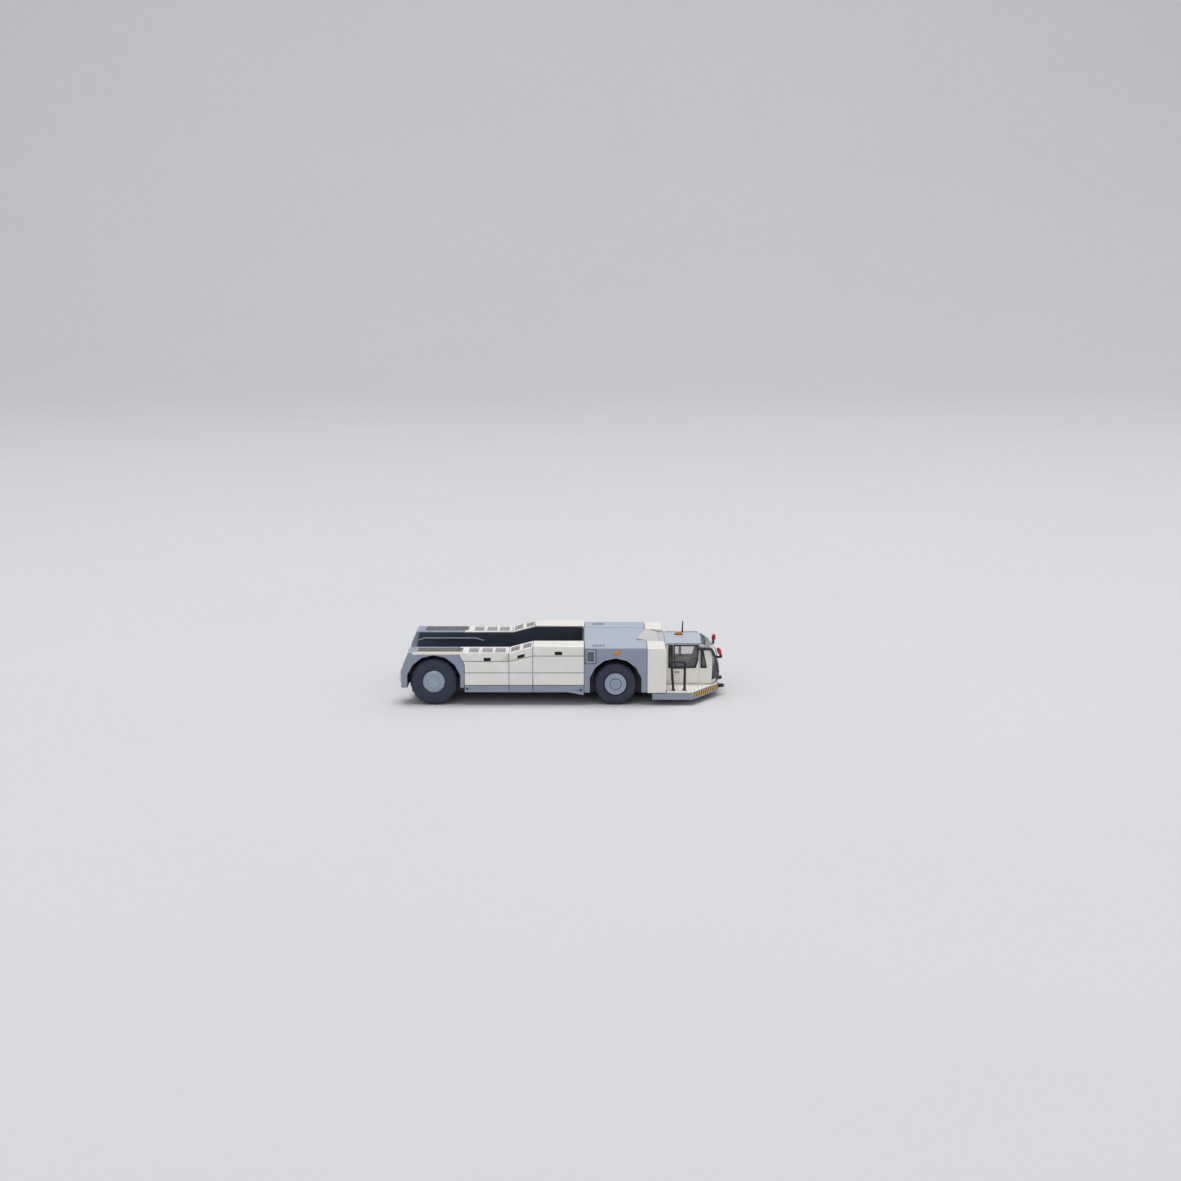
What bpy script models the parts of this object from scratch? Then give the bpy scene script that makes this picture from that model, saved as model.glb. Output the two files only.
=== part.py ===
"""A 1:200 die-cast scale model of an aircraft pushback tractor of the towbarless kind.

Every size is in millimetres of the model and MM turns it into metres. +X is the way the tractor
drives, with the cab at that end, +Y is its left side and +Z is up. The origin is on the floor
under the middle of the model's box.
"""

import math

import bmesh
import bpy
from mathutils import Matrix, Vector

MM = 0.001

# Lengths of the stretches of the body along X, from the tail forward.
rear_fender_length = 9.55
low_flank_length = 6.70
kink_length = 3.58
high_flank_length = 7.74
front_fender_length = 9.50
cab_flank_length = 2.93
cab_length = 7.15
screen_bulge = 1.35
hitch_reach = 0.60
chassis_reach = 4.00
platform_reach = 2.20
bumper_corner_length = 3.20

# Widths across Y.
body_width = 22.0
arm_width = 4.80
front_fender_width = 5.07
cab_flank_width = 6.00
cab_width = 10.10
straight_bumper_width = 8.40

# Heights above the floor.
low_deck_height = 8.12
high_deck_height = 9.06
engine_deck_height = 8.78
cab_flank_height = 8.78
cab_height = 8.34
antenna_top = 10.16
bay_rail_height = 7.25
rail_top = 6.62
sill_top = 3.12
sill_bottom = 2.05
sill_drop = 0.41
rear_skirt = 2.75
front_skirt = 2.00
cab_flank_bottom = 1.94
platform_top = 1.87
platform_thickness = 0.98
chassis_bottom = 0.95
chassis_thickness = 0.90

# Wheels.
rear_wheel_x = 4.90
front_wheel_x = 4.73
rear_tyre_radius = 3.60
front_tyre_radius = 3.25
tyre_width = 2.90
rim_radius = 1.72
rim_proud = 0.20
rim_face_radius = 1.38
tyre_inset = 0.40
axle_radius = 0.55
rear_arch_clearance = 0.45
front_arch_clearance = 0.70
well_depth = 3.85

# Walls and small clearances.
joint_gap = 0.04
running_gap = 0.06
liner_thickness = 0.30
cab_wall = 0.45
glass_thickness = 0.25
roof_thickness = 0.16
axle_lug_crown = 0.45
deck_lug_gap = 0.30
cradle_side_gap = 1.76
gate_arm_width = 1.40
gate_opening = 2.60
hook_spread = 6.00
step_thickness = 0.13
step_margin = 0.08
platform_set_back = 0.42
bay_floor_set_back = 1.25
antenna_radius = 0.13
arm_radius = 0.17

# Stations along X.
total_length = (
    rear_fender_length
    + low_flank_length
    + kink_length
    + high_flank_length
    + front_fender_length
    + cab_flank_length
    + cab_length
    + screen_bulge
    + hitch_reach
)
tail = -total_length / 2.0
flank_start = tail + rear_fender_length
kink_start = flank_start + low_flank_length
kink_end = kink_start + kink_length
deck_start = kink_end + high_flank_length
block_start = deck_start + front_fender_length
cab_start = block_start + cab_flank_length
cab_corner = cab_start + cab_length
nose = cab_corner + screen_bulge
hitch_end = nose + hitch_reach
chassis_start = deck_start - chassis_reach
chassis_end = cab_start - platform_reach

# Stations across Y, measured from the centre line outward.
side = body_width / 2.0
bay_side = side - arm_width
fender_inside = side - front_fender_width
block_inside = side - cab_flank_width
cab_side = cab_width / 2.0
bumper_corner = straight_bumper_width / 2.0
well_inside = side - well_depth

rear_axle = tail + rear_wheel_x
front_axle = deck_start + front_wheel_x
lug_top = front_tyre_radius + axle_radius + axle_lug_crown

FINISHES = {
    "white_paint": ((0.80, 0.79, 0.77), 0.35, 0.0),
    "grey_paint": ((0.21, 0.24, 0.31), 0.40, 0.0),
    "black_paint": ((0.020, 0.022, 0.028), 0.50, 0.0),
    "rail_grey": ((0.45, 0.46, 0.50), 0.45, 0.0),
    "roof_grey": ((0.52, 0.54, 0.60), 0.40, 0.0),
    "rubber": ((0.045, 0.047, 0.055), 0.75, 0.0),
    "rim_paint": ((0.30, 0.36, 0.42), 0.35, 0.0),
    "axle_steel": ((0.55, 0.55, 0.57), 0.30, 1.0),
    "clear_plastic": ((0.75, 0.78, 0.80), 0.08, 0.0),
    "tinted_plastic": ((0.06, 0.065, 0.08), 0.12, 0.0),
    "seat_plastic": ((0.50, 0.36, 0.34), 0.60, 0.0),
    "dark_plastic": ((0.030, 0.030, 0.040), 0.55, 0.0),
    "amber_plastic": ((0.80, 0.26, 0.04), 0.25, 0.0),
    "red_plastic": ((0.42, 0.03, 0.05), 0.30, 0.0),
}


def clear_scene():
    for obj in list(bpy.data.objects):
        bpy.data.objects.remove(obj, do_unlink=True)


def finish_material(name):
    found = bpy.data.materials.get(name)
    if found:
        return found
    colour, roughness, metallic = FINISHES[name]
    made = bpy.data.materials.new(name)
    made.use_nodes = True
    made.diffuse_color = (*colour, 1.0)
    shader = made.node_tree.nodes["Principled BSDF"]
    shader.inputs["Base Color"].default_value = (*colour, 1.0)
    shader.inputs["Roughness"].default_value = roughness
    shader.inputs["Metallic"].default_value = metallic
    return made


def add_object(name, mesh, finish, place, parent=None):
    """Links an object whose mesh is already in millimetres round its own place."""
    mesh.transform(Matrix.Scale(MM, 4))
    obj = bpy.data.objects.new(name, mesh)
    mesh.materials.append(finish_material(finish))
    bpy.context.scene.collection.objects.link(obj)
    obj.location = Vector(place) * MM
    if parent:
        obj.parent = parent
        obj.location = (Vector(place) * MM) - parent.location
    return obj


def mesh_of(bm, name, smooth_angle=None):
    bmesh.ops.recalc_face_normals(bm, faces=bm.faces)
    mesh = bpy.data.meshes.new(name)
    bm.to_mesh(mesh)
    bm.free()
    if smooth_angle:
        mesh.shade_smooth()
        mesh.set_sharp_from_angle(angle=math.radians(smooth_angle))
    return mesh


def as_cutter(obj):
    obj.hide_render = True
    obj.display_type = "WIRE"
    return obj


def boolean(target, other, operation):
    modifier = target.modifiers.new(operation.title() + " " + other.name, "BOOLEAN")
    modifier.operation = operation
    modifier.solver = "EXACT"
    modifier.object = as_cutter(other)


def bevel(obj, width, segments=1):
    modifier = obj.modifiers.new("Bevel", "BEVEL")
    modifier.width = width * MM
    modifier.segments = segments
    modifier.limit_method = "ANGLE"
    modifier.angle_limit = math.radians(40.0)
    modifier.use_clamp_overlap = True


def prism(name, outline, axis, low, high, finish, edge=0.0):
    """Extrudes a closed outline from low to high along one axis.

    The outline's pairs are (x, z) along Y, (y, z) along X and (x, y) along Z.
    """
    places = {
        "X": lambda pair, depth: (depth, pair[0], pair[1]),
        "Y": lambda pair, depth: (pair[0], depth, pair[1]),
        "Z": lambda pair, depth: (pair[0], pair[1], depth),
    }
    place = places[axis]
    middle = [
        (min(pair[i] for pair in outline) + max(pair[i] for pair in outline)) / 2.0 for i in (0, 1)
    ]
    centre = Vector(place(middle, (low + high) / 2.0))
    bm = bmesh.new()
    floor = [bm.verts.new(Vector(place(pair, low)) - centre) for pair in outline]
    face = bm.faces.new(floor)
    raised = bmesh.ops.extrude_face_region(bm, geom=[face])
    moved = [item for item in raised["geom"] if isinstance(item, bmesh.types.BMVert)]
    bmesh.ops.translate(bm, verts=moved, vec=Vector(place((0.0, 0.0), high - low)))
    obj = add_object(name, mesh_of(bm, name), finish, centre)
    if edge:
        bevel(obj, edge)
    return obj


def block(name, low, high, finish, edge=0.0):
    """A box between two corners."""
    outline = [(low[0], low[1]), (high[0], low[1]), (high[0], high[1]), (low[0], high[1])]
    return prism(name, outline, "Z", low[2], high[2], finish, edge)


def turned(name, profile, centre, finish, steps, parent=None, closed=False):
    """Spins a profile of (radius, y) round the Y axis through the centre."""
    bm = bmesh.new()
    points = [bm.verts.new((radius, y, 0.0)) for radius, y in profile]
    pairs = list(zip(points, points[1:]))
    if closed:
        pairs.append((points[-1], points[0]))
    edges = [bm.edges.new(pair) for pair in pairs]
    bmesh.ops.spin(
        bm,
        geom=points + edges,
        cent=(0.0, 0.0, 0.0),
        axis=(0.0, 1.0, 0.0),
        angle=2.0 * math.pi,
        steps=steps,
        use_merge=True,
    )
    bmesh.ops.remove_doubles(bm, verts=bm.verts, dist=0.0005)
    return add_object(name, mesh_of(bm, name, 35.0), finish, centre, parent)


def rod(name, points, radius, finish):
    """A round bar along straight runs between points, with closed ends."""
    curve = bpy.data.curves.new(name, "CURVE")
    curve.dimensions = "3D"
    curve.bevel_depth = radius * MM
    curve.bevel_resolution = 1
    curve.use_fill_caps = True
    spline = curve.splines.new("POLY")
    spline.points.add(len(points) - 1)
    start = Vector(points[0])
    for item, point in zip(spline.points, points):
        item.co = (*((Vector(point) - start) * MM), 1.0)
    curve.materials.append(finish_material(finish))
    obj = bpy.data.objects.new(name, curve)
    bpy.context.scene.collection.objects.link(obj)
    obj.location = start * MM
    return obj


def span(a, b):
    """Two values in rising order, for a piece that is made on both sides."""
    return (min(a, b), max(a, b))


def arc(centre, radius, start, end, steps):
    """Points of a round stretch, from one angle to another in degrees."""
    points = []
    for step in range(steps + 1):
        angle = math.radians(start + (end - start) * step / steps)
        points.append((centre[0] + radius * math.cos(angle), centre[1] + radius * math.sin(angle)))
    return points


def arch_outline(axle, wheel_radius, clearance, bottom):
    """A wheel arch: straight legs with a many-sided top, round a wheel that stands on the floor."""
    facets = 6
    radius = (wheel_radius + clearance) / math.cos(math.radians(75.0 / facets))
    top = arc((axle, wheel_radius), radius, 15.0, 165.0, facets)
    leg = top[0][0]
    back = top[-1][0]
    return [(back, bottom), (leg, bottom), *top]


def slot_outline(axle, height, bottom):
    """The open slot that an axle is dropped into from below."""
    half = axle_radius + running_gap
    return [(axle - half, bottom), (axle + half, bottom), *arc((axle, height), half, 0.0, 180.0, 8)]


SIDES = (("right", -1.0), ("left", 1.0))


def make_chassis():
    """The base plate with its axle lugs, the front platform and its steps."""
    top = chassis_bottom + chassis_thickness
    lug_half = 1.10
    lug_width = 0.90
    half_width = min(fender_inside, bay_side) - joint_gap
    plate = block(
        "chassis_plate",
        (chassis_start, -half_width, chassis_bottom),
        (chassis_end, half_width, top),
        "black_paint",
    )
    for name, sign in SIDES:
        low, high = span(sign * (half_width - lug_width), sign * (half_width - 0.02))
        lug = block(
            "axle_lug_" + name,
            (front_axle - lug_half, low, top - 0.2),
            (front_axle + lug_half, high, lug_top),
            "black_paint",
        )
        boolean(plate, lug, "UNION")
    half = axle_radius + running_gap
    slot = [
        (front_axle - half, lug_top + 0.5),
        *arc((front_axle, front_tyre_radius), half, 180.0, 360.0, 8),
        (front_axle + half, lug_top + 0.5),
    ]
    cutter = prism("axle_slot", slot, "Y", -side, side, "black_paint")
    boolean(plate, cutter, "DIFFERENCE")

    platform_start = chassis_end + joint_gap
    corner_start = cab_corner - bumper_corner_length
    front = nose - platform_set_back
    outline = [
        (platform_start, -side),
        (corner_start, -side),
        (front, -bumper_corner),
        (front, bumper_corner),
        (corner_start, side),
        (platform_start, side),
    ]
    prism(
        "front_platform",
        outline,
        "Z",
        platform_top - platform_thickness,
        platform_top,
        "grey_paint",
        edge=0.06,
    )
    for name, sign in SIDES:
        inner = cab_side + joint_gap
        outer = side - step_margin
        slant = (front - corner_start) / (side - bumper_corner)
        step = [
            (cab_start + joint_gap, sign * inner),
            (cab_start + joint_gap, sign * outer),
            (corner_start - step_margin / 2.0, sign * outer),
            (corner_start + slant * (side - inner) - step_margin * 1.5, sign * inner),
        ]
        low = platform_top + joint_gap
        prism("cab_step_" + name, step, "Z", low, low + step_thickness, "white_paint")


def make_bay():
    """The black nose-gear bay between the arms: floor, liners, cradle and gates."""
    floor_bottom = 1.15
    floor_thickness = 0.70
    floor_top = floor_bottom + floor_thickness
    inside = bay_side - joint_gap
    floor_start = tail + bay_floor_set_back
    floor_end = chassis_start - joint_gap
    block(
        "bay_floor",
        (floor_start, -inside, floor_bottom),
        (floor_end, inside, floor_top),
        "black_paint",
        edge=0.05,
    )
    front_wall_start = deck_start - liner_thickness
    block(
        "bay_front_wall",
        (front_wall_start, -inside, chassis_bottom + chassis_thickness + joint_gap),
        (deck_start - joint_gap, inside, engine_deck_height - 0.25),
        "black_paint",
    )
    liner_inner = inside - liner_thickness
    liner_low = floor_top + joint_gap
    rim = 0.12
    for name, sign in SIDES:
        low, high = span(sign * liner_inner, sign * inside)
        outline = [
            (floor_start, liner_low),
            (front_wall_start - joint_gap, liner_low),
            (front_wall_start - joint_gap, high_deck_height - rim),
            (kink_end, high_deck_height - rim),
            (kink_start, low_deck_height - rim),
            (floor_start + 0.35, low_deck_height - rim),
            (floor_start, 6.2),
        ]
        prism("bay_liner_" + name, outline, "Y", low, high, "black_paint")
        rail_size = 0.20
        rail_face = liner_inner - joint_gap
        low, high = span(sign * rail_face, sign * (rail_face - rail_size))
        rail = [
            (floor_start + 0.2, bay_rail_height - 0.30),
            (floor_start + 1.0, bay_rail_height),
            (flank_start + 0.9, bay_rail_height),
            (flank_start + 2.2, bay_rail_height - 0.40),
            (flank_start + 2.2, bay_rail_height - 0.40 - rail_size),
            (flank_start + 0.9, bay_rail_height - rail_size),
            (floor_start + 1.0, bay_rail_height - rail_size),
            (floor_start + 0.2, bay_rail_height - 0.30 - rail_size),
        ]
        prism("bay_rail_" + name, rail, "Y", low, high, "rail_grey")

    cradle_start = tail + 7.4
    cradle_end = kink_start + 1.6
    cradle_half = liner_inner - cradle_side_gap
    cradle_low = floor_top + joint_gap
    cradle = [
        (cradle_start, cradle_low),
        (cradle_end, cradle_low),
        (cradle_end, cradle_low + 3.20),
        (cradle_end - 0.9, cradle_low + 3.20),
        *arc((cradle_end - 3.6, cradle_low + 3.35), 2.75, -5.0, -90.0, 6),
        (cradle_start + 0.9, cradle_low + 0.60),
        (cradle_start, cradle_low + 0.22),
    ]
    prism("nose_gear_cradle", cradle, "Y", -cradle_half, cradle_half, "dark_plastic", edge=0.05)
    gate_height = 1.70
    gate_thickness = 0.70
    for name, sign in SIDES:
        outer = liner_inner - joint_gap
        gate = [
            (cradle_start - 2.3, sign * outer),
            (cradle_start - 0.6, sign * outer),
            (cradle_start - 0.6, sign * gate_opening / 2.0),
            (cradle_start - 0.6 - gate_thickness, sign * gate_opening / 2.0),
            (cradle_start - 0.6 - gate_thickness - 0.35, sign * (outer - gate_arm_width)),
            (cradle_start - 2.3, sign * (outer - gate_arm_width)),
        ]
        low = floor_top + joint_gap
        prism("cradle_gate_" + name, gate, "Z", low, low + gate_height, "dark_plastic", edge=0.05)


def make_body_sides():
    """The fenders over the wheels, the white flanks, the sills and the blocks beside the cab."""
    corner_drop = 1.80
    corner_run = 0.92
    rake_low = 5.25
    for name, sign in SIDES:
        outer = sign * side
        inner_arm = sign * (bay_side + joint_gap)
        low, high = span(outer, inner_arm)
        fender_end = flank_start - joint_gap
        outline = [
            (tail, rear_skirt),
            (fender_end, rear_skirt),
            (fender_end, low_deck_height - corner_drop),
            (fender_end - corner_run, low_deck_height - 0.12),
            (fender_end - corner_run - 0.14, low_deck_height),
            (tail + 1.20, low_deck_height),
            (tail + 1.04, low_deck_height - 0.12),
            (tail + 0.30, low_deck_height - 1.75),
            (tail, rake_low),
        ]
        fender = prism("rear_fender_" + name, outline, "Y", low, high, "grey_paint")
        arch = arch_outline(rear_axle, rear_tyre_radius, rear_arch_clearance, rear_skirt - 1.0)
        cut_low, cut_high = span(outer + sign, sign * well_inside)
        cutter = prism("rear_arch_" + name, arch, "Y", cut_low, cut_high, "black_paint")
        boolean(fender, cutter, "DIFFERENCE")
        bevel(fender, 0.05)
        bore = turned(
            "rear_bore_" + name,
            [
                (0.0, -1.0),
                (axle_radius + running_gap, -1.0),
                (axle_radius + running_gap, 0.6),
                (0.0, 0.6),
            ],
            (rear_axle, sign * (well_inside - 0.10), rear_tyre_radius),
            "black_paint",
            24,
        )
        bore.scale.y = sign
        boolean(fender, bore, "DIFFERENCE")

        flank = [
            (flank_start, sill_top + joint_gap),
            (deck_start - joint_gap, sill_top + joint_gap),
            (deck_start - joint_gap, high_deck_height),
            (kink_end, high_deck_height),
            (kink_start, low_deck_height),
            (flank_start - corner_run - 0.04, low_deck_height),
            (flank_start - corner_run, low_deck_height - 0.12),
            (flank_start, low_deck_height - corner_drop),
        ]
        body = prism("flank_" + name, flank, "Y", low, high, "white_paint")
        bevel(body, 0.07, 2)

        sill_end = deck_start - joint_gap
        sill = [
            (flank_start, sill_bottom),
            (sill_end - 2.35, sill_bottom),
            (sill_end - 0.45, sill_bottom - sill_drop),
            (sill_end, sill_bottom - sill_drop),
            (sill_end, sill_top),
            (flank_start, sill_top),
        ]
        sill_low, sill_high = span(outer - sign * 0.05, inner_arm)
        prism("sill_" + name, sill, "Y", sill_low, sill_high, "grey_paint")

        low, high = span(outer, sign * fender_inside)
        fender_top = engine_deck_height
        outline = [
            (deck_start, front_skirt),
            (block_start - joint_gap, front_skirt),
            (block_start - joint_gap, fender_top),
            (deck_start, fender_top),
        ]
        fender = prism("front_fender_" + name, outline, "Y", low, high, "grey_paint")
        arch = arch_outline(front_axle, front_tyre_radius, front_arch_clearance, front_skirt - 1.0)
        cut_low, cut_high = span(outer + sign, sign * well_inside)
        cutter = prism("front_arch_" + name, arch, "Y", cut_low, cut_high, "black_paint")
        boolean(fender, cutter, "DIFFERENCE")
        slot = slot_outline(front_axle, front_tyre_radius, front_skirt - 0.5)
        cut_low, cut_high = span(sign * (well_inside + 0.1), sign * (fender_inside - 1.0))
        cutter = prism("front_slot_" + name, slot, "Y", cut_low, cut_high, "black_paint")
        boolean(fender, cutter, "DIFFERENCE")
        bevel(fender, 0.05)

        low, high = span(outer, sign * (block_inside + joint_gap))
        outline = [
            (block_start, cab_flank_bottom),
            (cab_start - joint_gap, cab_flank_bottom),
            (cab_start - joint_gap, cab_flank_height - 0.55),
            *arc((cab_start - joint_gap - 0.55, cab_flank_height - 0.55), 0.55, 0.0, 90.0, 4)[1:],
            (block_start, cab_flank_height),
        ]
        piece = prism("cab_flank_" + name, outline, "Y", low, high, "white_paint")
        bevel(piece, 0.08, 2)


def make_deck():
    """The engine deck between the front fenders and the cowl behind the cab."""
    half = fender_inside - joint_gap
    plateau_half = half - 3.0
    top = engine_deck_height
    section = [
        (-half, lug_top + deck_lug_gap),
        (half, lug_top + deck_lug_gap),
        (half, top - 0.02),
        (plateau_half, top - 0.16),
        (-plateau_half, top - 0.16),
        (-half, top - 0.02),
    ]
    prism("engine_deck", section, "X", deck_start, block_start - joint_gap, "grey_paint")

    cowl_half = block_inside
    cowl_end = cab_start - joint_gap
    cowl_low = 2.10
    cowl = [
        (block_start, cowl_low),
        (cowl_end, cowl_low),
        (cowl_end, cab_height - 0.40),
        (cowl_end - 0.90, cab_height - 0.08),
        (block_start, engine_deck_height - 0.08),
    ]
    prism("cab_cowl", cowl, "Y", -cowl_half, cowl_half, "white_paint", edge=0.05)


def make_cab():
    """The driver's cab: walls, roof, glazing and what is seen inside."""
    floor_low = platform_top + joint_gap
    floor_thickness = 0.40
    wall_low = floor_low
    roof_low = cab_height - roof_thickness
    wall_top = roof_low - joint_gap
    window_low = 4.70
    window_top = wall_top - 0.10
    heights = screen_heights(wall_low, wall_top)
    pillar = [(screen_corner(height) + 0.03, height) for height in heights]
    side_wall = [(cab_start, wall_low), *pillar, (cab_start, wall_top)]
    rear_window = [
        (cab_start + 0.55, window_low),
        (cab_start + 0.98, window_low),
        (cab_start + 0.98, window_top),
        (cab_start + 0.55, window_top),
    ]
    door_window = [
        (cab_start + 1.35, window_low),
        (cab_start + 4.55, window_low),
        (cab_start + 4.90, window_low + 1.10),
        (cab_start + 4.98, window_top),
        (cab_start + 1.35, window_top),
    ]
    quarter_window = [
        (cab_start + 5.48, window_low),
        (cab_start + 6.20, window_low),
        (cab_start + 5.62, window_top - 0.45),
        (cab_start + 5.48, window_top - 0.45),
    ]
    for name, sign in SIDES:
        low, high = span(sign * cab_side, sign * (cab_side - cab_wall))
        wall = prism("cab_side_" + name, side_wall, "Y", low, high, "white_paint")
        windows = (("rear", rear_window), ("door", door_window), ("quarter", quarter_window))
        for label, outline in windows:
            cutter = prism(
                "cut_" + label + "_" + name,
                outline,
                "Y",
                low - 1.0,
                high + 1.0,
                "black_paint",
            )
            boolean(wall, cutter, "DIFFERENCE")
        pane = cab_side - cab_wall - joint_gap
        low, high = span(sign * pane, sign * (pane - glass_thickness))
        glass_start = cab_start + cab_wall + joint_gap
        glass_back = glass_thickness + joint_gap
        glass_low = window_low - 0.25
        glass_high = window_top + 0.08
        heights = screen_heights(glass_low, glass_high)
        front_edge = [(screen_corner(height) - glass_back, height) for height in heights]
        glass = [(glass_start, glass_low), *front_edge, (glass_start, glass_high)]
        prism("side_glass_" + name, glass, "Y", low, high, "clear_plastic")

    inner = cab_side - cab_wall - joint_gap
    back = prism(
        "cab_back",
        [(-inner, wall_low), (inner, wall_low), (inner, wall_top), (-inner, wall_top)],
        "X",
        cab_start,
        cab_start + cab_wall,
        "white_paint",
    )
    back_window = 3.30
    cutter = prism(
        "cut_back",
        [
            (-back_window, window_low + 0.6),
            (back_window, window_low + 0.6),
            (back_window, window_top),
            (-back_window, window_top),
        ],
        "X",
        cab_start - 1.0,
        cab_start + cab_wall + 1.0,
        "black_paint",
    )
    boolean(back, cutter, "DIFFERENCE")
    pane = cab_start + cab_wall + joint_gap
    edge = inner - glass_thickness - joint_gap
    prism(
        "rear_glass",
        [
            (-edge, window_low + 0.4),
            (edge, window_low + 0.4),
            (edge, window_top + 0.08),
            (-edge, window_top + 0.08),
        ],
        "X",
        pane,
        pane + glass_thickness,
        "clear_plastic",
    )
    floor_start = cab_start + cab_wall + joint_gap
    block(
        "cab_floor",
        (floor_start, -inner, floor_low),
        (cab_corner - 0.75, inner, floor_low + floor_thickness),
        "dark_plastic",
    )
    make_cab_front(wall_low, wall_top, inner)
    make_cab_roof(roof_low)
    make_cab_inside(floor_low + floor_thickness, inner)


# A height, how far the screen's side edges stand behind the cab's corner there, and the share of
# the screen's whole bulge that its middle has.
SCREEN_PROFILE = (
    (0.0, 0.30, 1.0),
    (3.20, 0.08, 1.0),
    (4.00, 0.03, 0.94),
    (4.80, 0.00, 0.80),
    (6.30, 0.00, 0.58),
    (7.40, 0.20, 0.42),
    (9.00, 1.40, 0.25),
)


def screen_at(height, column):
    """One column of the screen's profile at any height."""
    for lower, upper in zip(SCREEN_PROFILE, SCREEN_PROFILE[1:]):
        if height <= upper[0]:
            share = (height - lower[0]) / (upper[0] - lower[0])
            return lower[column] + (upper[column] - lower[column]) * share
    return SCREEN_PROFILE[-1][column]


def screen_corner(height):
    """How far forward the windscreen's side edges stand at a height."""
    return cab_corner - screen_at(height, 1)


def screen_heights(low, high):
    """The heights where the screen bends, between two given ones."""
    return [low, *(row[0] for row in SCREEN_PROFILE if low < row[0] < high), high]


def screen_points(half_width, front, bow, steps):
    """A bowed plan line, from the right corner to the left one."""
    points = []
    for step in range(steps + 1):
        across = -1.0 + 2.0 * step / steps
        reach = bow * math.cos(across * math.pi / 2.0) ** 0.8
        points.append((front + reach, across * half_width))
    return points


def make_cab_front(wall_low, wall_top, inner):
    """The bowed windscreen, raked back at its top, over a low front panel."""
    panel_top = 3.30
    screen_span = (panel_top + joint_gap, wall_top)
    make_bowed_wall("windscreen", screen_span, glass_thickness, inner, "tinted_plastic")
    make_bowed_wall("cab_front_panel", (wall_low, panel_top), cab_wall, inner, "white_paint")


def make_bowed_wall(name, heights, thickness, half, finish):
    """A wall of even thickness that bows forward between its side edges."""
    steps = 12
    bm = bmesh.new()
    rows = []
    for height in screen_heights(*heights):
        front = screen_corner(height)
        bow = screen_bulge * screen_at(height, 2)
        facing = screen_points(half, front, bow, steps)
        lining = screen_points(half, front - thickness, bow, steps)
        outer = [bm.verts.new((x, y, height)) for x, y in facing]
        within = [bm.verts.new((x, y, height)) for x, y in lining]
        rows.append((outer, within))
    loft_walls(bm, rows)
    centre = Vector((cab_corner, 0.0, sum(heights) / 2.0))
    bmesh.ops.translate(bm, verts=bm.verts, vec=-centre)
    add_object(name, mesh_of(bm, name, 30.0), finish, centre)


def loft_walls(bm, rows):
    """Joins stacked rows of outer and inner points into one closed curved wall."""
    for (outer, within), (outer_next, within_next) in zip(rows, rows[1:]):
        for i in range(len(outer) - 1):
            bm.faces.new((outer[i], outer[i + 1], outer_next[i + 1], outer_next[i]))
            bm.faces.new((within[i + 1], within[i], within_next[i], within_next[i + 1]))
        bm.faces.new((within[0], outer[0], outer_next[0], within_next[0]))
        bm.faces.new((outer[-1], within[-1], within_next[-1], outer_next[-1]))
    for outer, within in (rows[0], rows[-1]):
        for i in range(len(outer) - 1):
            bm.faces.new((outer[i], within[i], within[i + 1], outer[i + 1]))


def make_cab_roof(roof_low):
    front = cab_corner - 1.10
    back = cab_start
    bowed_edge = screen_points(cab_side, front, screen_bulge * 0.30, 10)
    outline = [(back, -cab_side), *bowed_edge, (back, cab_side)]
    roof = prism("cab_roof", outline, "Z", roof_low, cab_height, "roof_grey")
    bevel(roof, 0.06)

    beacon_size = (1.15, 0.62, 0.42)
    beacon_x = cab_start + 2.25
    beacon_y = 2.60
    low = cab_height + joint_gap
    beacon = block(
        "roof_beacon",
        (beacon_x - beacon_size[0] / 2.0, beacon_y - beacon_size[1] / 2.0, low),
        (beacon_x + beacon_size[0] / 2.0, beacon_y + beacon_size[1] / 2.0, low + beacon_size[2]),
        "amber_plastic",
    )
    bevel(beacon, 0.14, 2)
    antenna_x = cab_start + 2.88
    antenna_y = cab_side - 0.60
    whip = [(antenna_x, antenna_y, low), (antenna_x + 0.06, antenna_y, antenna_top)]
    rod("roof_antenna", whip, antenna_radius, "black_paint")


def make_cab_inside(floor, inner):
    """The seat, the console and the steering wheel on its column."""
    seat_x = cab_start + 2.10
    seat_y = -1.70
    base = floor + joint_gap
    seat = [
        (seat_x - 0.70, base),
        (seat_x + 0.75, base),
        (seat_x + 0.95, base + 2.25),
        (seat_x + 0.85, base + 2.45),
        (seat_x - 0.20, base + 2.35),
        (seat_x - 0.42, base + 4.05),
        (seat_x - 0.72, base + 4.10),
        (seat_x - 0.92, base + 4.00),
    ]
    prism("driver_seat", seat, "Y", seat_y - 0.85, seat_y + 0.85, "seat_plastic", edge=0.10)
    console_x = cab_corner - 2.45
    console = [
        (console_x, base),
        (console_x + 1.30, base),
        (console_x + 1.25, base + 1.85),
        (console_x + 0.80, base + 2.15),
        (console_x - 0.55, base + 1.90),
        (console_x - 0.55, base + 1.60),
        (console_x, base + 1.40),
    ]
    prism(
        "driver_console",
        console,
        "Y",
        -(inner - glass_thickness - 0.15),
        inner - glass_thickness - 0.15,
        "dark_plastic",
        edge=0.05,
    )
    wheel_radius = 0.75
    rim = [
        (wheel_radius, 0.0),
        (wheel_radius - 0.07, 0.10),
        (0.24, 0.10),
        (0.16, 0.05),
        (0.16, 0.52),
        (0.0, 0.52),
    ]
    profile = [(0.0, -0.10), (wheel_radius - 0.07, -0.10), *rim]
    wheel = turned(
        "steering_wheel",
        profile,
        (console_x - 0.45, seat_y, base + 2.55),
        "dark_plastic",
        20,
    )
    wheel.rotation_euler = (math.radians(-90.0), math.radians(-25.0), 0.0)


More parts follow.
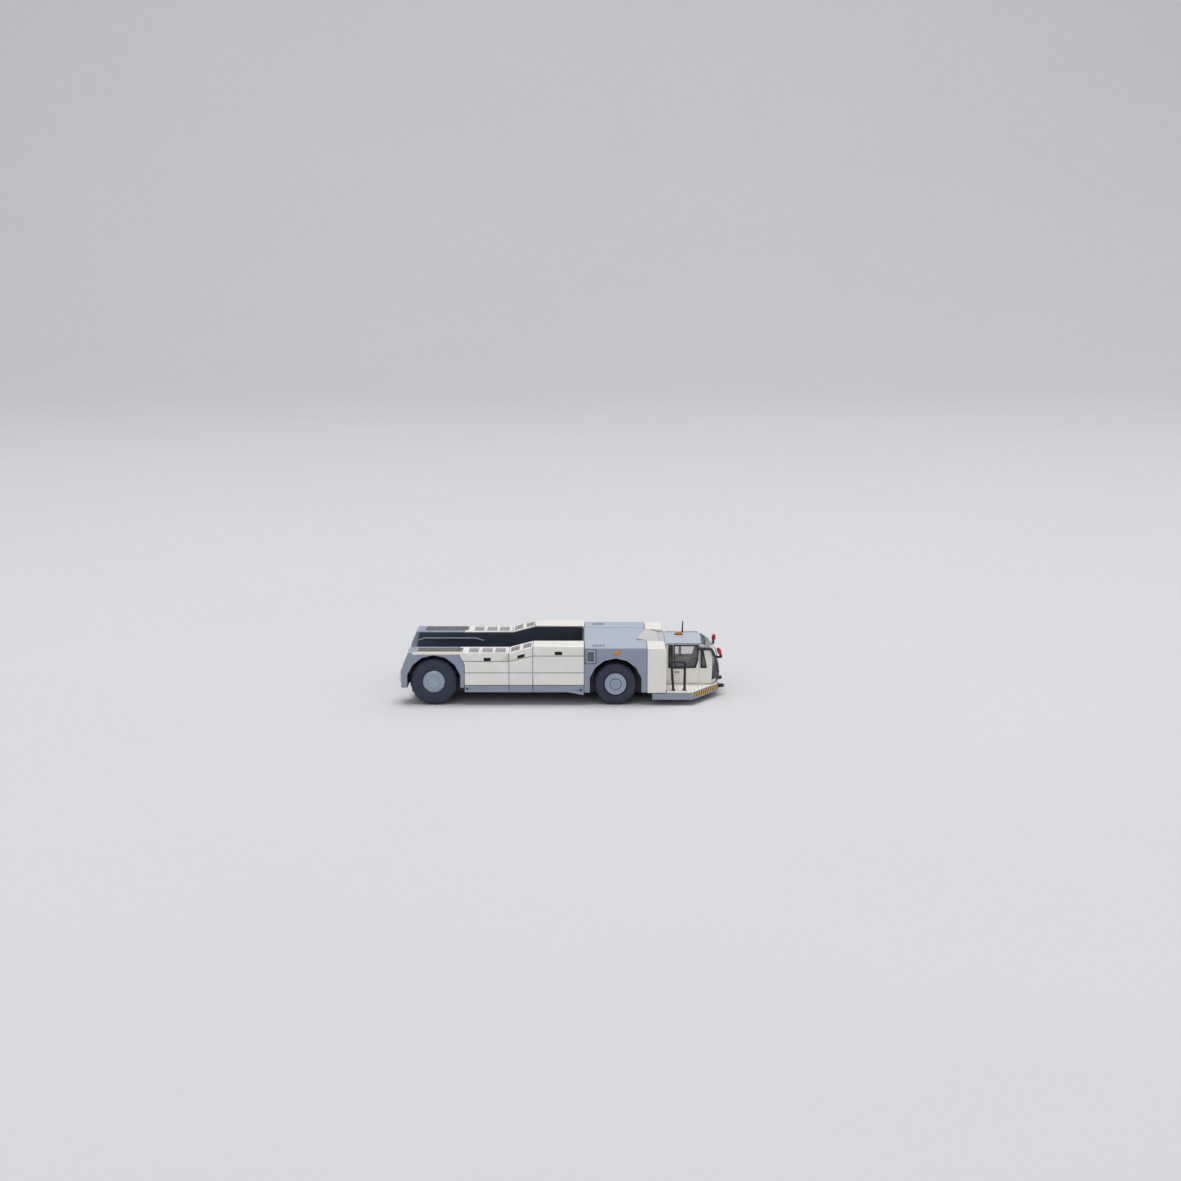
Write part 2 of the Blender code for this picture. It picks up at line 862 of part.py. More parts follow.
def make_fittings():
    """Mirrors on their arms, the rails on the steps and the tow hooks."""
    arm_height = 7.60
    elbow_height = 6.30
    arm_y = cab_side + arm_radius + joint_gap
    # The right arm reaches further forward than the left one and its head leans back more.
    for name, sign, reach, lean in (("right", -1.0, 0.0, 24.0), ("left", 1.0, -0.80, -6.0)):
        elbow = cab_corner + 0.45 + reach
        stem_foot = elbow + 1.00
        stem_length = 0.42
        tilt = math.radians(lean)
        stem_top = (
            stem_foot - stem_length * math.sin(tilt),
            elbow_height + stem_length * math.cos(tilt),
        )
        arm = [
            (cab_corner - 2.40, sign * arm_y, arm_height),
            (elbow - 0.55, sign * arm_y, arm_height),
            (elbow, sign * arm_y, elbow_height),
            (stem_foot, sign * arm_y, elbow_height),
            (stem_top[0], sign * arm_y, stem_top[1]),
        ]
        rod("mirror_arm_" + name, arm, arm_radius, "black_paint")
        head_length = 1.10
        head_half = 0.30
        foot = arm_radius * 0.25 + joint_gap
        rise = Vector((-math.sin(tilt), math.cos(tilt)))
        across = Vector((math.cos(tilt), math.sin(tilt)))
        front = []
        back = []
        for share, half in ((0.0, 0.45), (0.18, 0.85), (0.45, 1.0), (0.78, 0.85), (1.0, 0.45)):
            middle = Vector(stem_top) + rise * (foot + share * head_length)
            front.append(tuple(middle + across * half * head_half))
            back.append(tuple(middle - across * half * head_half))
        low, high = span(sign * (arm_y - 0.20), sign * (arm_y + 0.20))
        prism("mirror_" + name, front + back[::-1], "Y", low, high, "red_plastic", edge=0.06)

    for name, sign in SIDES:
        leg = 0.38
        rail_y = sign * (side - 1.55)
        start = cab_start + 0.50
        end = cab_start + 2.95
        foot = platform_top + joint_gap + step_thickness + joint_gap
        low, high = span(rail_y - 0.18, rail_y + 0.18)
        outline = [(start, foot), (end, foot), (end, rail_top), (start, rail_top)]
        rail = prism("step_rail_" + name, outline, "Y", low, high, "black_paint")
        bar_low = rail_top - 1.50
        gaps = ((foot - 0.5, bar_low), (bar_low + 0.30, rail_top - leg))
        for index, (gap_low, gap_high) in enumerate(gaps):
            hole = [
                (start + leg, gap_low),
                (end - leg, gap_low),
                (end - leg, gap_high),
                (start + leg, gap_high),
            ]
            label = "rail_gap_" + str(index) + "_" + name
            cutter = prism(label, hole, "Y", low - 1.0, high + 1.0, "black_paint")
            boolean(rail, cutter, "DIFFERENCE")

    hook_low = platform_top - 0.66
    hook_back = nose - platform_set_back + joint_gap
    for name, sign in SIDES:
        middle = sign * hook_spread / 2.0
        hook = [
            (hook_back, middle - 0.36),
            (hook_back + 0.55, middle - 0.36),
            (hitch_end, middle - 0.16),
            (hitch_end, middle + 0.16),
            (hook_back + 0.55, middle + 0.36),
            (hook_back, middle + 0.36),
        ]
        prism("tow_hook_" + name, hook, "Z", hook_low, hook_low + 0.46, "black_paint", edge=0.05)


def wheel_profiles(radius, width):
    """The tyre's and the rim's outlines as (radius, y), with +Y outboard."""
    half = width / 2.0
    shoulder = 0.42
    tyre = [
        (rim_radius, -half + 0.15),
        (rim_radius + 0.45, -half),
        (radius - shoulder, -half + 0.02),
        (radius - 0.12, -half + 0.22),
        (radius, -half + shoulder + 0.10),
        (radius, half - shoulder - 0.10),
        (radius - 0.12, half - 0.22),
        (radius - shoulder, half - 0.02),
        (rim_radius + 0.45, half),
        (rim_radius, half - 0.15),
    ]
    outer = rim_radius - joint_gap
    bore = axle_radius + joint_gap
    rim = [
        (bore, -half + 0.05),
        (outer - 0.10, -half + 0.05),
        (outer, -half + 0.15),
        (outer, half - 0.10),
        (rim_face_radius, half + rim_proud),
        (0.0, half + rim_proud),
        (0.0, half - 0.75),
        (bore, half - 0.75),
    ]
    return tyre, rim


def make_wheels():
    """Rear wheels on stub axles in the arms, and front wheels on one through axle."""
    middle = side - tyre_inset - tyre_width / 2.0
    for name, sign in SIDES:
        pivot = bpy.data.objects.new("rear_wheel_pivot_" + name, None)
        bpy.context.scene.collection.objects.link(pivot)
        pivot.location = Vector((rear_axle, sign * middle, rear_tyre_radius)) * MM
        tyre, rim = wheel_profiles(rear_tyre_radius, tyre_width)
        centre = (rear_axle, sign * middle, rear_tyre_radius)
        add_wheel("rear", name, sign, tyre, rim, centre, pivot)
        stub_end = middle + tyre_width / 2.0 - 0.80
        low, high = span(sign * (well_inside - 0.62), sign * stub_end)
        stub = [(0.0, low), (axle_radius, low), (axle_radius, high), (0.0, high)]
        turned("stub_axle_" + name, stub, (rear_axle, 0.0, rear_tyre_radius), "axle_steel", 24)

    pivot = bpy.data.objects.new("front_axle_pivot", None)
    bpy.context.scene.collection.objects.link(pivot)
    pivot.location = Vector((front_axle, 0.0, front_tyre_radius)) * MM
    for name, sign in SIDES:
        tyre, rim = wheel_profiles(front_tyre_radius, tyre_width)
        centre = (front_axle, sign * middle, front_tyre_radius)
        add_wheel("front", name, sign, tyre, rim, centre, pivot)
    reach = middle + tyre_width / 2.0 - 0.80
    shaft = [(0.0, -reach), (axle_radius, -reach), (axle_radius, reach), (0.0, reach)]
    turned(
        "front_axle_shaft",
        shaft,
        (front_axle, 0.0, front_tyre_radius),
        "axle_steel",
        24,
        pivot,
    )


def add_wheel(end, name, sign, tyre, rim, centre, pivot):
    outboard = [(radius, sign * y) for radius, y in tyre]
    turned(end + "_tyre_" + name, outboard, centre, "rubber", 40, pivot, closed=True)
    outboard = [(radius, sign * y) for radius, y in rim]
    bore_first = outboard[-2:] + outboard[:-2]
    turned(end + "_rim_" + name, bore_first, centre, "rim_paint", 24, pivot)


clear_scene()
make_chassis()
make_bay()
make_body_sides()
make_deck()
make_cab()
make_fittings()
make_wheels()
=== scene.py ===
"""The looks of a 1:200 die-cast scale model of an aircraft pushback tractor.

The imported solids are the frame. Visible pieces are bevelled, carved or rebuilt round them in
millimetres, and MM turns that into metres. +X is the cab's end, +Y the left side and +Z up.
"""

import math

import bmesh
import bpy
from mathutils import Matrix, Vector


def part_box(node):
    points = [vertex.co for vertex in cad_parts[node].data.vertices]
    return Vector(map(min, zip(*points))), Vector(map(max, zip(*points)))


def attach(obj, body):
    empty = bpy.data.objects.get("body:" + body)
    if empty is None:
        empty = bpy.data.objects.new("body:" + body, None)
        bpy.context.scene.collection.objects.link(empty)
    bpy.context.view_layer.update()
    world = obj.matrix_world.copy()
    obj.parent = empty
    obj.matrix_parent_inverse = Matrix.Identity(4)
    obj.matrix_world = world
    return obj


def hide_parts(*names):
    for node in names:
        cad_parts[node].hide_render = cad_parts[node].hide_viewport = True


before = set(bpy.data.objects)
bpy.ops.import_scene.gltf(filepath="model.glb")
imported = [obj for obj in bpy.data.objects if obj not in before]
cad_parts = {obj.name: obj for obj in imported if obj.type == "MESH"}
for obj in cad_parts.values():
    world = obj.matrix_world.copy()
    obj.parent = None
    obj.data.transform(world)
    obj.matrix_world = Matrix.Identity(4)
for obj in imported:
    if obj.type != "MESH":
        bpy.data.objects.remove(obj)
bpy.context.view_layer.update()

MM = 0.001
SIDES = (("right", -1.0), ("left", 1.0))
BODY = "tractor"


# Places taken from the frame.


def node_box(node):
    """The low and high corners of a CAD node's box, in millimetres."""
    low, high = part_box(node)
    return Vector(low) / MM, Vector(high) / MM


flank_high = node_box("flank_left")[1]
fender_low, fender_high = node_box("rear_fender_left")
front_low, front_high = node_box("front_fender_left")
block_low = node_box("cab_flank_left")[0]
cowl_high = node_box("cab_cowl")[1]
cab_low, cab_high = node_box("cab_side_left")
roof_low, roof_high = node_box("cab_roof")
platform_low, platform_high = node_box("front_platform")
step_low, step_high = node_box("cab_step_left")
sill_low, sill_high = node_box("sill_left")
floor_high = node_box("bay_floor")[1]
screen_low, screen_high = node_box("windscreen")
panel_low, panel_high = node_box("cab_front_panel")

side = flank_high.y
tail = fender_low.x
flank_start = sill_low.x
kink_start = flank_start + 6.70
kink_end = kink_start + 3.58
deck_start = front_low.x
block_start = block_low.x
cab_start = cab_low.x
low_deck = fender_high.z
high_deck = flank_high.z
engine_deck = front_high.z
cab_corner = cab_start + 7.15
screen_bulge = 1.35
well_inside = side - 3.85


# Shapes, all in millimetres.


def filleted(points, radius, closed=False, steps=4):
    """The same line with each corner rounded, as far as its two stretches allow."""
    points = [Vector(point) for point in points]
    count = len(points)
    made = []
    for i, corner in enumerate(points):
        if not closed and i in (0, count - 1):
            made.append(corner)
            continue
        before = points[i - 1] - corner
        after = points[(i + 1) % count] - corner
        reach = min(radius, before.length * 0.45, after.length * 0.45)
        start = corner + before.normalized() * reach
        end = corner + after.normalized() * reach
        for step in range(steps + 1):
            t = step / steps
            made.append(start * (1 - t) ** 2 + corner * (2 * t * (1 - t)) + end * t**2)
    return made


def rectangle(x0, x1, z0, z1):
    return [(x0, z0), (x1, z0), (x1, z1), (x0, z1)]


def plate(x0, x1, z0, z1, radius):
    return filleted(rectangle(x0, x1, z0, z1), radius, closed=True)


def circle(centre, radius, steps=24, start=0.0):
    """Points round a circle, from a start given as a share of one step."""
    angles = [math.tau * (k + start) / steps for k in range(steps)]
    return [(centre[0] + radius * math.cos(a), centre[1] + radius * math.sin(a)) for a in angles]


def spread(sign, near, far):
    """A span across the model, low end first, on the side that the sign gives."""
    return sorted((sign * near, sign * far))


def placed(axis, pair, depth):
    """The point with this pair of places across an axis, and this depth along it."""
    if axis == "X":
        return (depth, pair[0], pair[1])
    if axis == "Y":
        return (pair[0], depth, pair[1])
    return (pair[0], pair[1], depth)


def joined(bm, rings, looped=False):
    """Faces between rings of points, each with the next. The ends are closed, or meet in a loop."""
    if not looped:
        bm.faces.new(rings[0])
        bm.faces.new(rings[-1][::-1])
    for a, b in zip(rings, rings[1:] + rings[:1] if looped else rings[1:]):
        for i in range(len(a)):
            j = (i + 1) % len(a)
            bm.faces.new((a[i], a[j], b[j], b[i]))


def prism(bm, outline, axis, low, high, shrink=0.0):
    """Extrudes an outline. The pairs are (y, z) along X, (x, z) along Y and (x, y) along Z."""
    middle = sum((Vector(pair) for pair in outline), Vector((0.0, 0.0))) / len(outline)
    drawn_in = [middle + (Vector(pair) - middle) * (1.0 - shrink) for pair in outline]
    base = [bm.verts.new(placed(axis, pair, low)) for pair in outline]
    top = [bm.verts.new(placed(axis, pair, high)) for pair in drawn_in]
    joined(bm, [base, top])


def box(bm, low, high):
    prism(bm, rectangle(low[0], high[0], low[1], high[1]), "Z", low[2], high[2])


def hoop(bm, outer, inner, axis, low, high):
    """A flat frame between two outlines with as many points each."""
    lines = ((outer, low), (outer, high), (inner, high), (inner, low))
    rings = [[bm.verts.new(placed(axis, pair, z)) for pair in line] for line, z in lines]
    joined(bm, rings, looped=True)


def strip(bm, line, width, axis, low, high):
    """A band of even width along an open line, laid in the plane across the axis."""
    line = [Vector(point) for point in line]
    left, right = [], []
    for i, point in enumerate(line):
        ahead = (line[min(i + 1, len(line) - 1)] - point).normalized()
        behind = (point - line[max(i - 1, 0)]).normalized()
        along = (ahead + behind).normalized()
        across = Vector((-along.y, along.x)) * width / 2.0
        left.append(point + across)
        right.append(point - across)
    prism(bm, left + right[::-1], axis, low, high)


def turned(bm, profile, centre, axis, steps, looped=False):
    """Spins a profile of (radius, along) round an axis through the centre."""
    rings = []
    for radius, along in profile:
        around = circle((0.0, 0.0), radius, steps) if radius else [(0.0, 0.0)]
        spots = [Vector(centre) + Vector(placed(axis, pair, along)) for pair in around]
        rings.append([bm.verts.new(spot) for spot in spots])
    for a, b in zip(rings, rings[1:] + rings[:1] if looped else rings[1:]):
        for k in range(steps):
            n = (k + 1) % steps
            corners = [a[k % len(a)], a[n % len(a)], b[n % len(b)], b[k % len(b)]]
            face = list(dict.fromkeys(corners))
            if len(face) > 2:
                bm.faces.new(face)


def tube(bm, points, radius, bend=0.3, sides=12, end_radius=None):
    """A round bar along a line with soft bends and closed ends."""
    line = filleted(points, bend, steps=6)
    last = len(line) - 1
    end_radius = radius if end_radius is None else end_radius
    across = None
    rings = []
    for i, point in enumerate(line):
        along = (line[min(i + 1, last)] - line[max(i - 1, 0)]).normalized()
        if across is None:
            across = along.orthogonal()
        across = (across - along * across.dot(along)).normalized()
        other = along.cross(across)
        size = radius + (end_radius - radius) * i / last
        around = [across * size * x + other * size * y for x, y in circle((0, 0), 1, sides)]
        rings.append([bm.verts.new(point + spot) for spot in around])
    joined(bm, rings)


def bolt(bm, place, radius, height, axis="Z"):
    """A hexagon head that stands up from its place along an axis."""
    depth = "XYZ".index(axis)
    pair = [place[i] for i in range(3) if i != depth]
    prism(bm, circle(pair, radius, 6), axis, place[depth], place[depth] + height, shrink=0.12)


# Objects.


def opened(mesh):
    bm = bmesh.new()
    bm.from_mesh(mesh)
    return bm


def saved(bm, mesh):
    bm.to_mesh(mesh)
    bm.free()


def shown(name, data):
    """Puts a new object with this mesh, light or camera in the scene."""
    obj = bpy.data.objects.new(name, data)
    bpy.context.scene.collection.objects.link(obj)
    return obj


def linked(name, bm):
    """A new object from a shape drawn in millimetres."""
    bmesh.ops.recalc_face_normals(bm, faces=bm.faces)
    bm.transform(Matrix.Scale(MM, 4))
    mesh = bpy.data.meshes.new(name)
    saved(bm, mesh)
    return shown(name, mesh)


def applied(obj):
    """Turns an object's modifiers into its mesh."""
    bpy.context.view_layer.update()
    shape = obj.evaluated_get(bpy.context.evaluated_depsgraph_get())
    mesh = bpy.data.meshes.new_from_object(shape)
    obj.modifiers.clear()
    old = obj.data
    obj.data = mesh
    bpy.data.meshes.remove(old)


def rounded(obj, edge, segments):
    """Bevels the edges, and drops the faces that the bevel shrinks to nothing."""
    modifier = obj.modifiers.new("Rounded edges", "BEVEL")
    modifier.width = edge * MM
    modifier.segments = segments
    modifier.limit_method = "ANGLE"
    modifier.angle_limit = math.radians(32.0)
    applied(obj)
    bm = opened(obj.data)
    bmesh.ops.remove_doubles(bm, verts=bm.verts, dist=0.001 * MM)
    bmesh.ops.dissolve_degenerate(bm, edges=bm.edges, dist=0.001 * MM)
    saved(bm, obj.data)


def carved(obj, cutter):
    """Cuts closed shapes out of an object, and splits the concave faces that this leaves."""
    tool = linked(obj.name + "_cutter", cutter)
    modifier = obj.modifiers.new("Carved", "BOOLEAN")
    modifier.operation = "DIFFERENCE"
    modifier.solver = "EXACT"
    modifier.use_self = True
    modifier.object = tool
    applied(obj)
    bm = opened(obj.data)
    bmesh.ops.connect_verts_concave(bm, faces=bm.faces)
    saved(bm, obj.data)
    mesh = tool.data
    bpy.data.objects.remove(tool)
    bpy.data.meshes.remove(mesh)


def finished(obj, paint, body, replaces):
    """Gives a piece its material, soft shading and body."""
    material, slot = paint
    obj.data.materials.clear()
    obj.data.materials.append(material)
    obj.data.shade_smooth()
    obj.data.set_sharp_from_angle(angle=math.radians(36.0))
    weighted = obj.modifiers.new("Even shading", "WEIGHTED_NORMAL")
    weighted.keep_sharp = True
    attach(obj, body)
    if replaces:
        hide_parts(*replaces)


def piece(name, bm, paint, body=BODY, edge=0.0, segments=2, replaces=()):
    obj = linked(name, bm)
    if edge:
        rounded(obj, edge, segments)
    finished(obj, paint, body, replaces)


def refined(node, paint, edge, segments=2, cutter=None):
    """A copy of a CAD node with rounded edges and, where given, cuts. It stands for the node."""
    bm = opened(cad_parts[node].data)
    bm.transform(Matrix.Scale(1.0 / MM, 4))
    bmesh.ops.remove_doubles(bm, verts=bm.verts, dist=0.0005)
    bmesh.ops.dissolve_limit(bm, angle_limit=math.radians(1.0), verts=bm.verts, edges=bm.edges)
    bmesh.ops.connect_verts_concave(bm, faces=bm.faces)
    obj = linked(node + "_shell", bm)
    rounded(obj, edge, segments)
    if cutter:
        carved(obj, cutter)
    finished(obj, paint, BODY, (node,))


def dressed(node, paint):
    """A CAD node whose shape is right keeps it and takes a better material."""
    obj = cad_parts[node]
    for holder in obj.material_slots:
        holder.link = "OBJECT"
        holder.material = paint[0]


# Materials. Their patterns are laid out in millimetres of the object.


def tone(red, green, blue):
    """A colour as paint charts give it, 0 to 255, for a shader."""
    return tuple((value / 255.0) ** 2.2 for value in (red, green, blue))


class Surface:
    """A shader with its texture space, to which patterns are added one by one."""

    def __init__(self, name, colour, roughness, metallic=0.0, coat=0.0):
        self.material = bpy.data.materials.new(name)
        self.material.use_nodes = True
        self.material.diffuse_color = (*colour, 1.0)
        self.tree = self.material.node_tree
        self.shader = self.tree.nodes["Principled BSDF"]
        self.colour = colour
        self.set("Base Color", (*colour, 1.0))
        self.set("Roughness", roughness)
        self.set("Metallic", metallic)
        self.set("Coat Weight", coat)
        self.set("Coat Roughness", 0.12)
        place = self.node("ShaderNodeTexCoord")
        scale = self.node("ShaderNodeVectorMath", operation="SCALE")
        scale.inputs["Scale"].default_value = 1.0 / MM
        self.link(place.outputs["Object"], scale.inputs[0])
        self.space = scale.outputs[0]
        self.height = None

    def node(self, kind, **settings):
        made = self.tree.nodes.new(kind)
        for key, value in settings.items():
            setattr(made, key, value)
        return made

    def link(self, start, end):
        self.tree.links.new(start, end)

    def set(self, socket, value):
        self.shader.inputs[socket].default_value = value

    def noise(self, scale, detail=2.0, stretch=(1.0, 1.0, 1.0)):
        spread = self.node("ShaderNodeMapping")
        spread.inputs["Scale"].default_value = stretch
        self.link(self.space, spread.inputs["Vector"])
        noise = self.node("ShaderNodeTexNoise")
        noise.inputs["Scale"].default_value = scale
        noise.inputs["Detail"].default_value = detail
        self.link(spread.outputs["Vector"], noise.inputs["Vector"])
        return noise.outputs["Fac"]

    def ranged(self, value, start, end, low=0.3, high=0.7):
        node = self.node("ShaderNodeMapRange")
        limits = {"From Min": low, "From Max": high, "To Min": start, "To Max": end}
        for socket, number in limits.items():
            node.inputs[socket].default_value = number
        self.link(value, node.inputs["Value"])
        return node.outputs["Result"]

    def mixed(self, share, colour):
        """Lays another colour over the one so far, by a share from a pattern."""
        mix = self.node("ShaderNodeMix", data_type="RGBA")
        base = self.shader.inputs["Base Color"]
        if base.links:
            self.link(base.links[0].from_socket, mix.inputs[6])
        else:
            mix.inputs[6].default_value = base.default_value
        mix.inputs[7].default_value = (*colour, 1.0)
        self.link(share, mix.inputs[0])
        self.link(mix.outputs[2], base)

    def mottled(self, amount, scale, stretch=(1.0, 1.0, 1.0)):
        """Slow changes of tone, darker and lighter than the paint's own."""
        dark = tuple(value * (1.0 - amount) for value in self.colour)
        light = tuple(min(1.0, value * (1.0 + amount)) for value in self.colour)
        noise = self.noise(scale, 3.0, stretch)
        self.mixed(self.ranged(noise, 1.0, 0.0, 0.25, 0.5), dark)
        self.mixed(self.ranged(noise, 0.0, 1.0, 0.5, 0.75), light)
        return self

    def rough(self, low, high, scale):
        """Lets the roughness wander between two values."""
        self.link(self.ranged(self.noise(scale), low, high), self.shader.inputs["Roughness"])
        return self

    def raised(self, pattern, depth):
        """Adds a pattern, 0 to 1, to the relief, depth millimetres deep."""
        bump = self.node("ShaderNodeBump")
        bump.inputs["Strength"].default_value = 0.6
        bump.inputs["Distance"].default_value = depth * MM
        self.link(pattern, bump.inputs["Height"])
        normal = self.shader.inputs["Normal"]
        if normal.links:
            self.link(normal.links[0].from_socket, bump.inputs["Normal"])
        self.link(bump.outputs["Normal"], normal)
        return self

    def grained(self, depth, scale, detail=3.0, stretch=(1.0, 1.0, 1.0)):
        return self.raised(self.noise(scale, detail, stretch), depth)

    def cells(self, scale):
        """The distance to the nearest of many scattered points."""
        cells = self.node("ShaderNodeTexVoronoi")
        cells.inputs["Scale"].default_value = scale
        self.link(self.space, cells.inputs["Vector"])
        return cells.outputs["Distance"]

    def specked(self, colour, scale, size, strength):
        """Small specks, as of dust in the paint."""
        self.mixed(self.ranged(self.cells(scale), strength, 0.0, size * 0.5, size), colour)
        return self

    def painted_corner_shade(self, distance, colour):
        """Paints shade into corners and seams: ambient occlusion darkens what lies hemmed in
        towards a colour.
        """
        corner = self.node("ShaderNodeAmbientOcclusion", samples=8)
        corner.inputs["Distance"].default_value = distance * MM
        self.mixed(self.ranged(corner.outputs["AO"], 0.8, 0.0, 0.35, 0.95), colour)
        return self


def enamel(name, colour, roughness, seam=None):
    """Sprayed die-cast enamel: slow tone changes, orange peel and dust specks, with painted shade
    in corners and seams where a seam colour is given.
    """
    surface = Surface(name, colour, roughness, coat=0.25)
    surface.mottled(0.045, 0.35).mottled(0.02, 2.2)
    surface.specked(tuple(value * 0.55 for value in colour), 1.6, 0.05, 0.5)
    # Painted shade: ambient occlusion darkens corners and seams towards the seam colour.
    if seam:
        surface.painted_corner_shade(0.35, seam)
    surface.rough(roughness - 0.07, roughness + 0.08, 1.3)
    return surface.grained(0.010, 3.2).grained(0.004, 11.0).material


def plastic(name, colour, roughness):
    """Injection-moulded plastic: faint flow lines and a fine spark-eroded grain."""
    surface = Surface(name, colour, roughness)
    surface.mottled(0.10, 0.5, stretch=(0.4, 1.0, 2.0))
    surface.specked(tuple(min(1.0, value * 2.2 + 0.02) for value in colour), 2.3, 0.045, 0.35)
    surface.rough(roughness - 0.08, roughness + 0.08, 2.5)
    return surface.grained(0.006, 9.0, 4.0).material


def clear(name, colour, roughness, alpha):
    """Thin window plastic with faint ripples, seen through by its alpha."""
    surface = Surface(name, colour, roughness, coat=0.5)
    surface.set("Alpha", alpha)
    surface.mottled(0.06, 0.6)
    surface.rough(max(0.02, roughness - 0.03), roughness + 0.03, 1.0)
    return surface.grained(0.003, 1.2, 1.0).material


def rubber(name, colour):
    """Moulded rubber: uneven, dusty and finely pitted."""
    surface = Surface(name, colour, 0.62)
    surface.mottled(0.22, 0.8).mottled(0.10, 5.0)
    surface.specked(tone(120, 124, 134), 2.6, 0.05, 0.30)
    surface.rough(0.50, 0.74, 1.7)
    return surface.grained(0.012, 7.0, 5.0).material


def brushed(name, colour):
    """Turned steel: fine lines across its length."""
    surface = Surface(name, colour, 0.30, metallic=1.0)
    surface.mottled(0.12, 0.7)
    surface.rough(0.22, 0.42, 3.0)
    return surface.grained(0.004, 4.0, 3.0, (18.0, 1.0, 18.0)).material


def gripping(name, colour):
    """Anti-slip coating: coarse grit that is lighter where feet have rubbed it."""
    surface = Surface(name, colour, 0.85)
    surface.mottled(0.20, 0.7)
    surface.mixed(surface.ranged(surface.cells(6.0), 0.55, 0.0, 0.05, 0.30), tone(134, 136, 140))
    surface.raised(surface.ranged(surface.cells(6.0), 1.0, 0.0, 0.05, 0.45), 0.030)
    return surface.grained(0.008, 16.0).material


def lens(name, colour):
    """A lamp lens: glossy, with fine moulded flutes."""
    surface = Surface(name, colour, 0.15, coat=0.6)
    surface.mottled(0.14, 1.4)
    flutes = surface.node("ShaderNodeTexWave", wave_type="BANDS")
    flutes.inputs["Scale"].default_value = 1.6
    surface.link(surface.space, flutes.inputs["Vector"])
    surface.raised(flutes.outputs["Fac"], 0.012)
    return surface.rough(0.10, 0.22, 2.0).material


def woven(name, colour):
    """The seat's cloth: a fine weave."""
    surface = Surface(name, colour, 0.80)
    surface.set("Sheen Weight", 0.3)
    surface.mottled(0.14, 0.9)
    weave = surface.node("ShaderNodeTexChecker")
    weave.inputs["Scale"].default_value = 9.0
    surface.link(surface.space, weave.inputs["Vector"])
    surface.raised(weave.outputs["Fac"], 0.012)
    return surface.grained(0.006, 14.0).material


# Each paint is a material and the slot of the record that it stands for.
# An enamel's fourth colour, where given, is painted shade that ambient occlusion lays into corners
# and seams.
WHITE = enamel("white enamel", tone(234, 230, 223), 0.38, tone(126, 124, 122)), "white_paint"
# The cowl's enamel is the white enamel darkened: painted shade on the sloping white cowl.
SHADED_WHITE = enamel("white enamel in painted shade", tone(196, 194, 190), 0.40, tone(108, 107, 108)), "white_paint"
GREY = enamel("blue-grey enamel", tone(138, 147, 166), 0.42, tone(60, 66, 82)), "grey_paint"
DECK = enamel("deck enamel", tone(164, 174, 187), 0.45, tone(88, 95, 108)), "roof_grey"
ROOF = enamel("roof enamel", tone(178, 185, 195), 0.42, tone(90, 96, 106)), "roof_grey"
BLACK = enamel("black enamel", tone(50, 56, 70), 0.50), "black_paint"
HUB = enamel("wheel enamel", tone(148, 160, 177), 0.36, tone(64, 72, 86)), "rim_paint"
YELLOW = enamel("warning yellow", tone(252, 192, 24), 0.42), "amber_plastic"
LINE = enamel("line yellow", tone(240, 220, 110), 0.45), "amber_plastic"
LOUVRE = enamel("louvre enamel", tone(198, 201, 206), 0.48, tone(108, 112, 120)), "rail_grey"
GRIP = gripping("anti-slip coating", tone(112, 115, 122)), "dark_plastic"
RUBBER = rubber("tyre rubber", tone(48, 54, 72)), "rubber"
STEEL = brushed("axle steel", tone(176, 177, 180)), "axle_steel"
TRIM = plastic("black moulding", tone(32, 34, 42), 0.48), "black_paint"
INSIDE = plastic("interior moulding", tone(88, 91, 100), 0.60), "dark_plastic"
SCREEN = clear("windscreen plastic", tone(214, 222, 230), 0.05, 0.24), "tinted_plastic"
GLASS = clear("side window plastic", tone(206, 210, 214), 0.06, 0.14), "clear_plastic"
SEAT = woven("seat cloth", tone(196, 150, 146)), "seat_plastic"
AMBER = lens("amber lens", tone(218, 126, 34)), "amber_plastic"
RED = lens("red moulding", tone(164, 20, 34)), "red_plastic"
LAMP = lens("clear lens", tone(226, 230, 232)), "clear_plastic"
RAIL = GREY[0], "rail_grey"
FITTING = TRIM[0], "dark_plastic"


# The white flanks and the sills under them.


def flank_top(x):
    """The height of the flank's top edge, which climbs over the kink."""
    share = min(1.0, max(0.0, (x - kink_start) / (kink_end - kink_start)))
    return low_deck + (high_deck - low_deck) * share


# Seams are grooves. Louvres are given by their ends along X.
groove = 0.12
groove_depth = 0.13
upper_seam = low_deck - 1.32
upper_seam_high = high_deck - 1.43
lower_seam = 5.05
louvre_spans = ((-14.38, -12.90), (-12.40, -10.80), (-10.42, -8.85), (-8.00, -6.72), (-6.18, -4.92))
louvre_inner = 6.85
louvre_outer = 10.60
louvre_depth = 0.22
# Each side vent's ends along X, and how far below the top edge it starts and stops.
slot_spans = (
    (-12.10, -11.04, -1.26, -0.77),
    (-7.03, -5.93, -1.24, -0.78),
    (-1.40, -0.28, -1.27, -0.78),
)


def sloped(x0, x1, drop_low, drop_high, grow=0.0):
    """Four corners that follow the flank's top edge at even distances from it."""
    return [
        (x0 - grow, flank_top(x0) + drop_low - grow),
        (x1 + grow, flank_top(x1) + drop_low - grow),
        (x1 + grow, flank_top(x1) + drop_high + grow),
        (x0 - grow, flank_top(x0) + drop_high + grow),
    ]


def upright_seam(cutter, x, face, sign):
    outline = rectangle(x - groove / 2, x + groove / 2, 0.0, high_deck + 1.0)
    prism(cutter, outline, "Y", face - sign * groove_depth, face + sign)


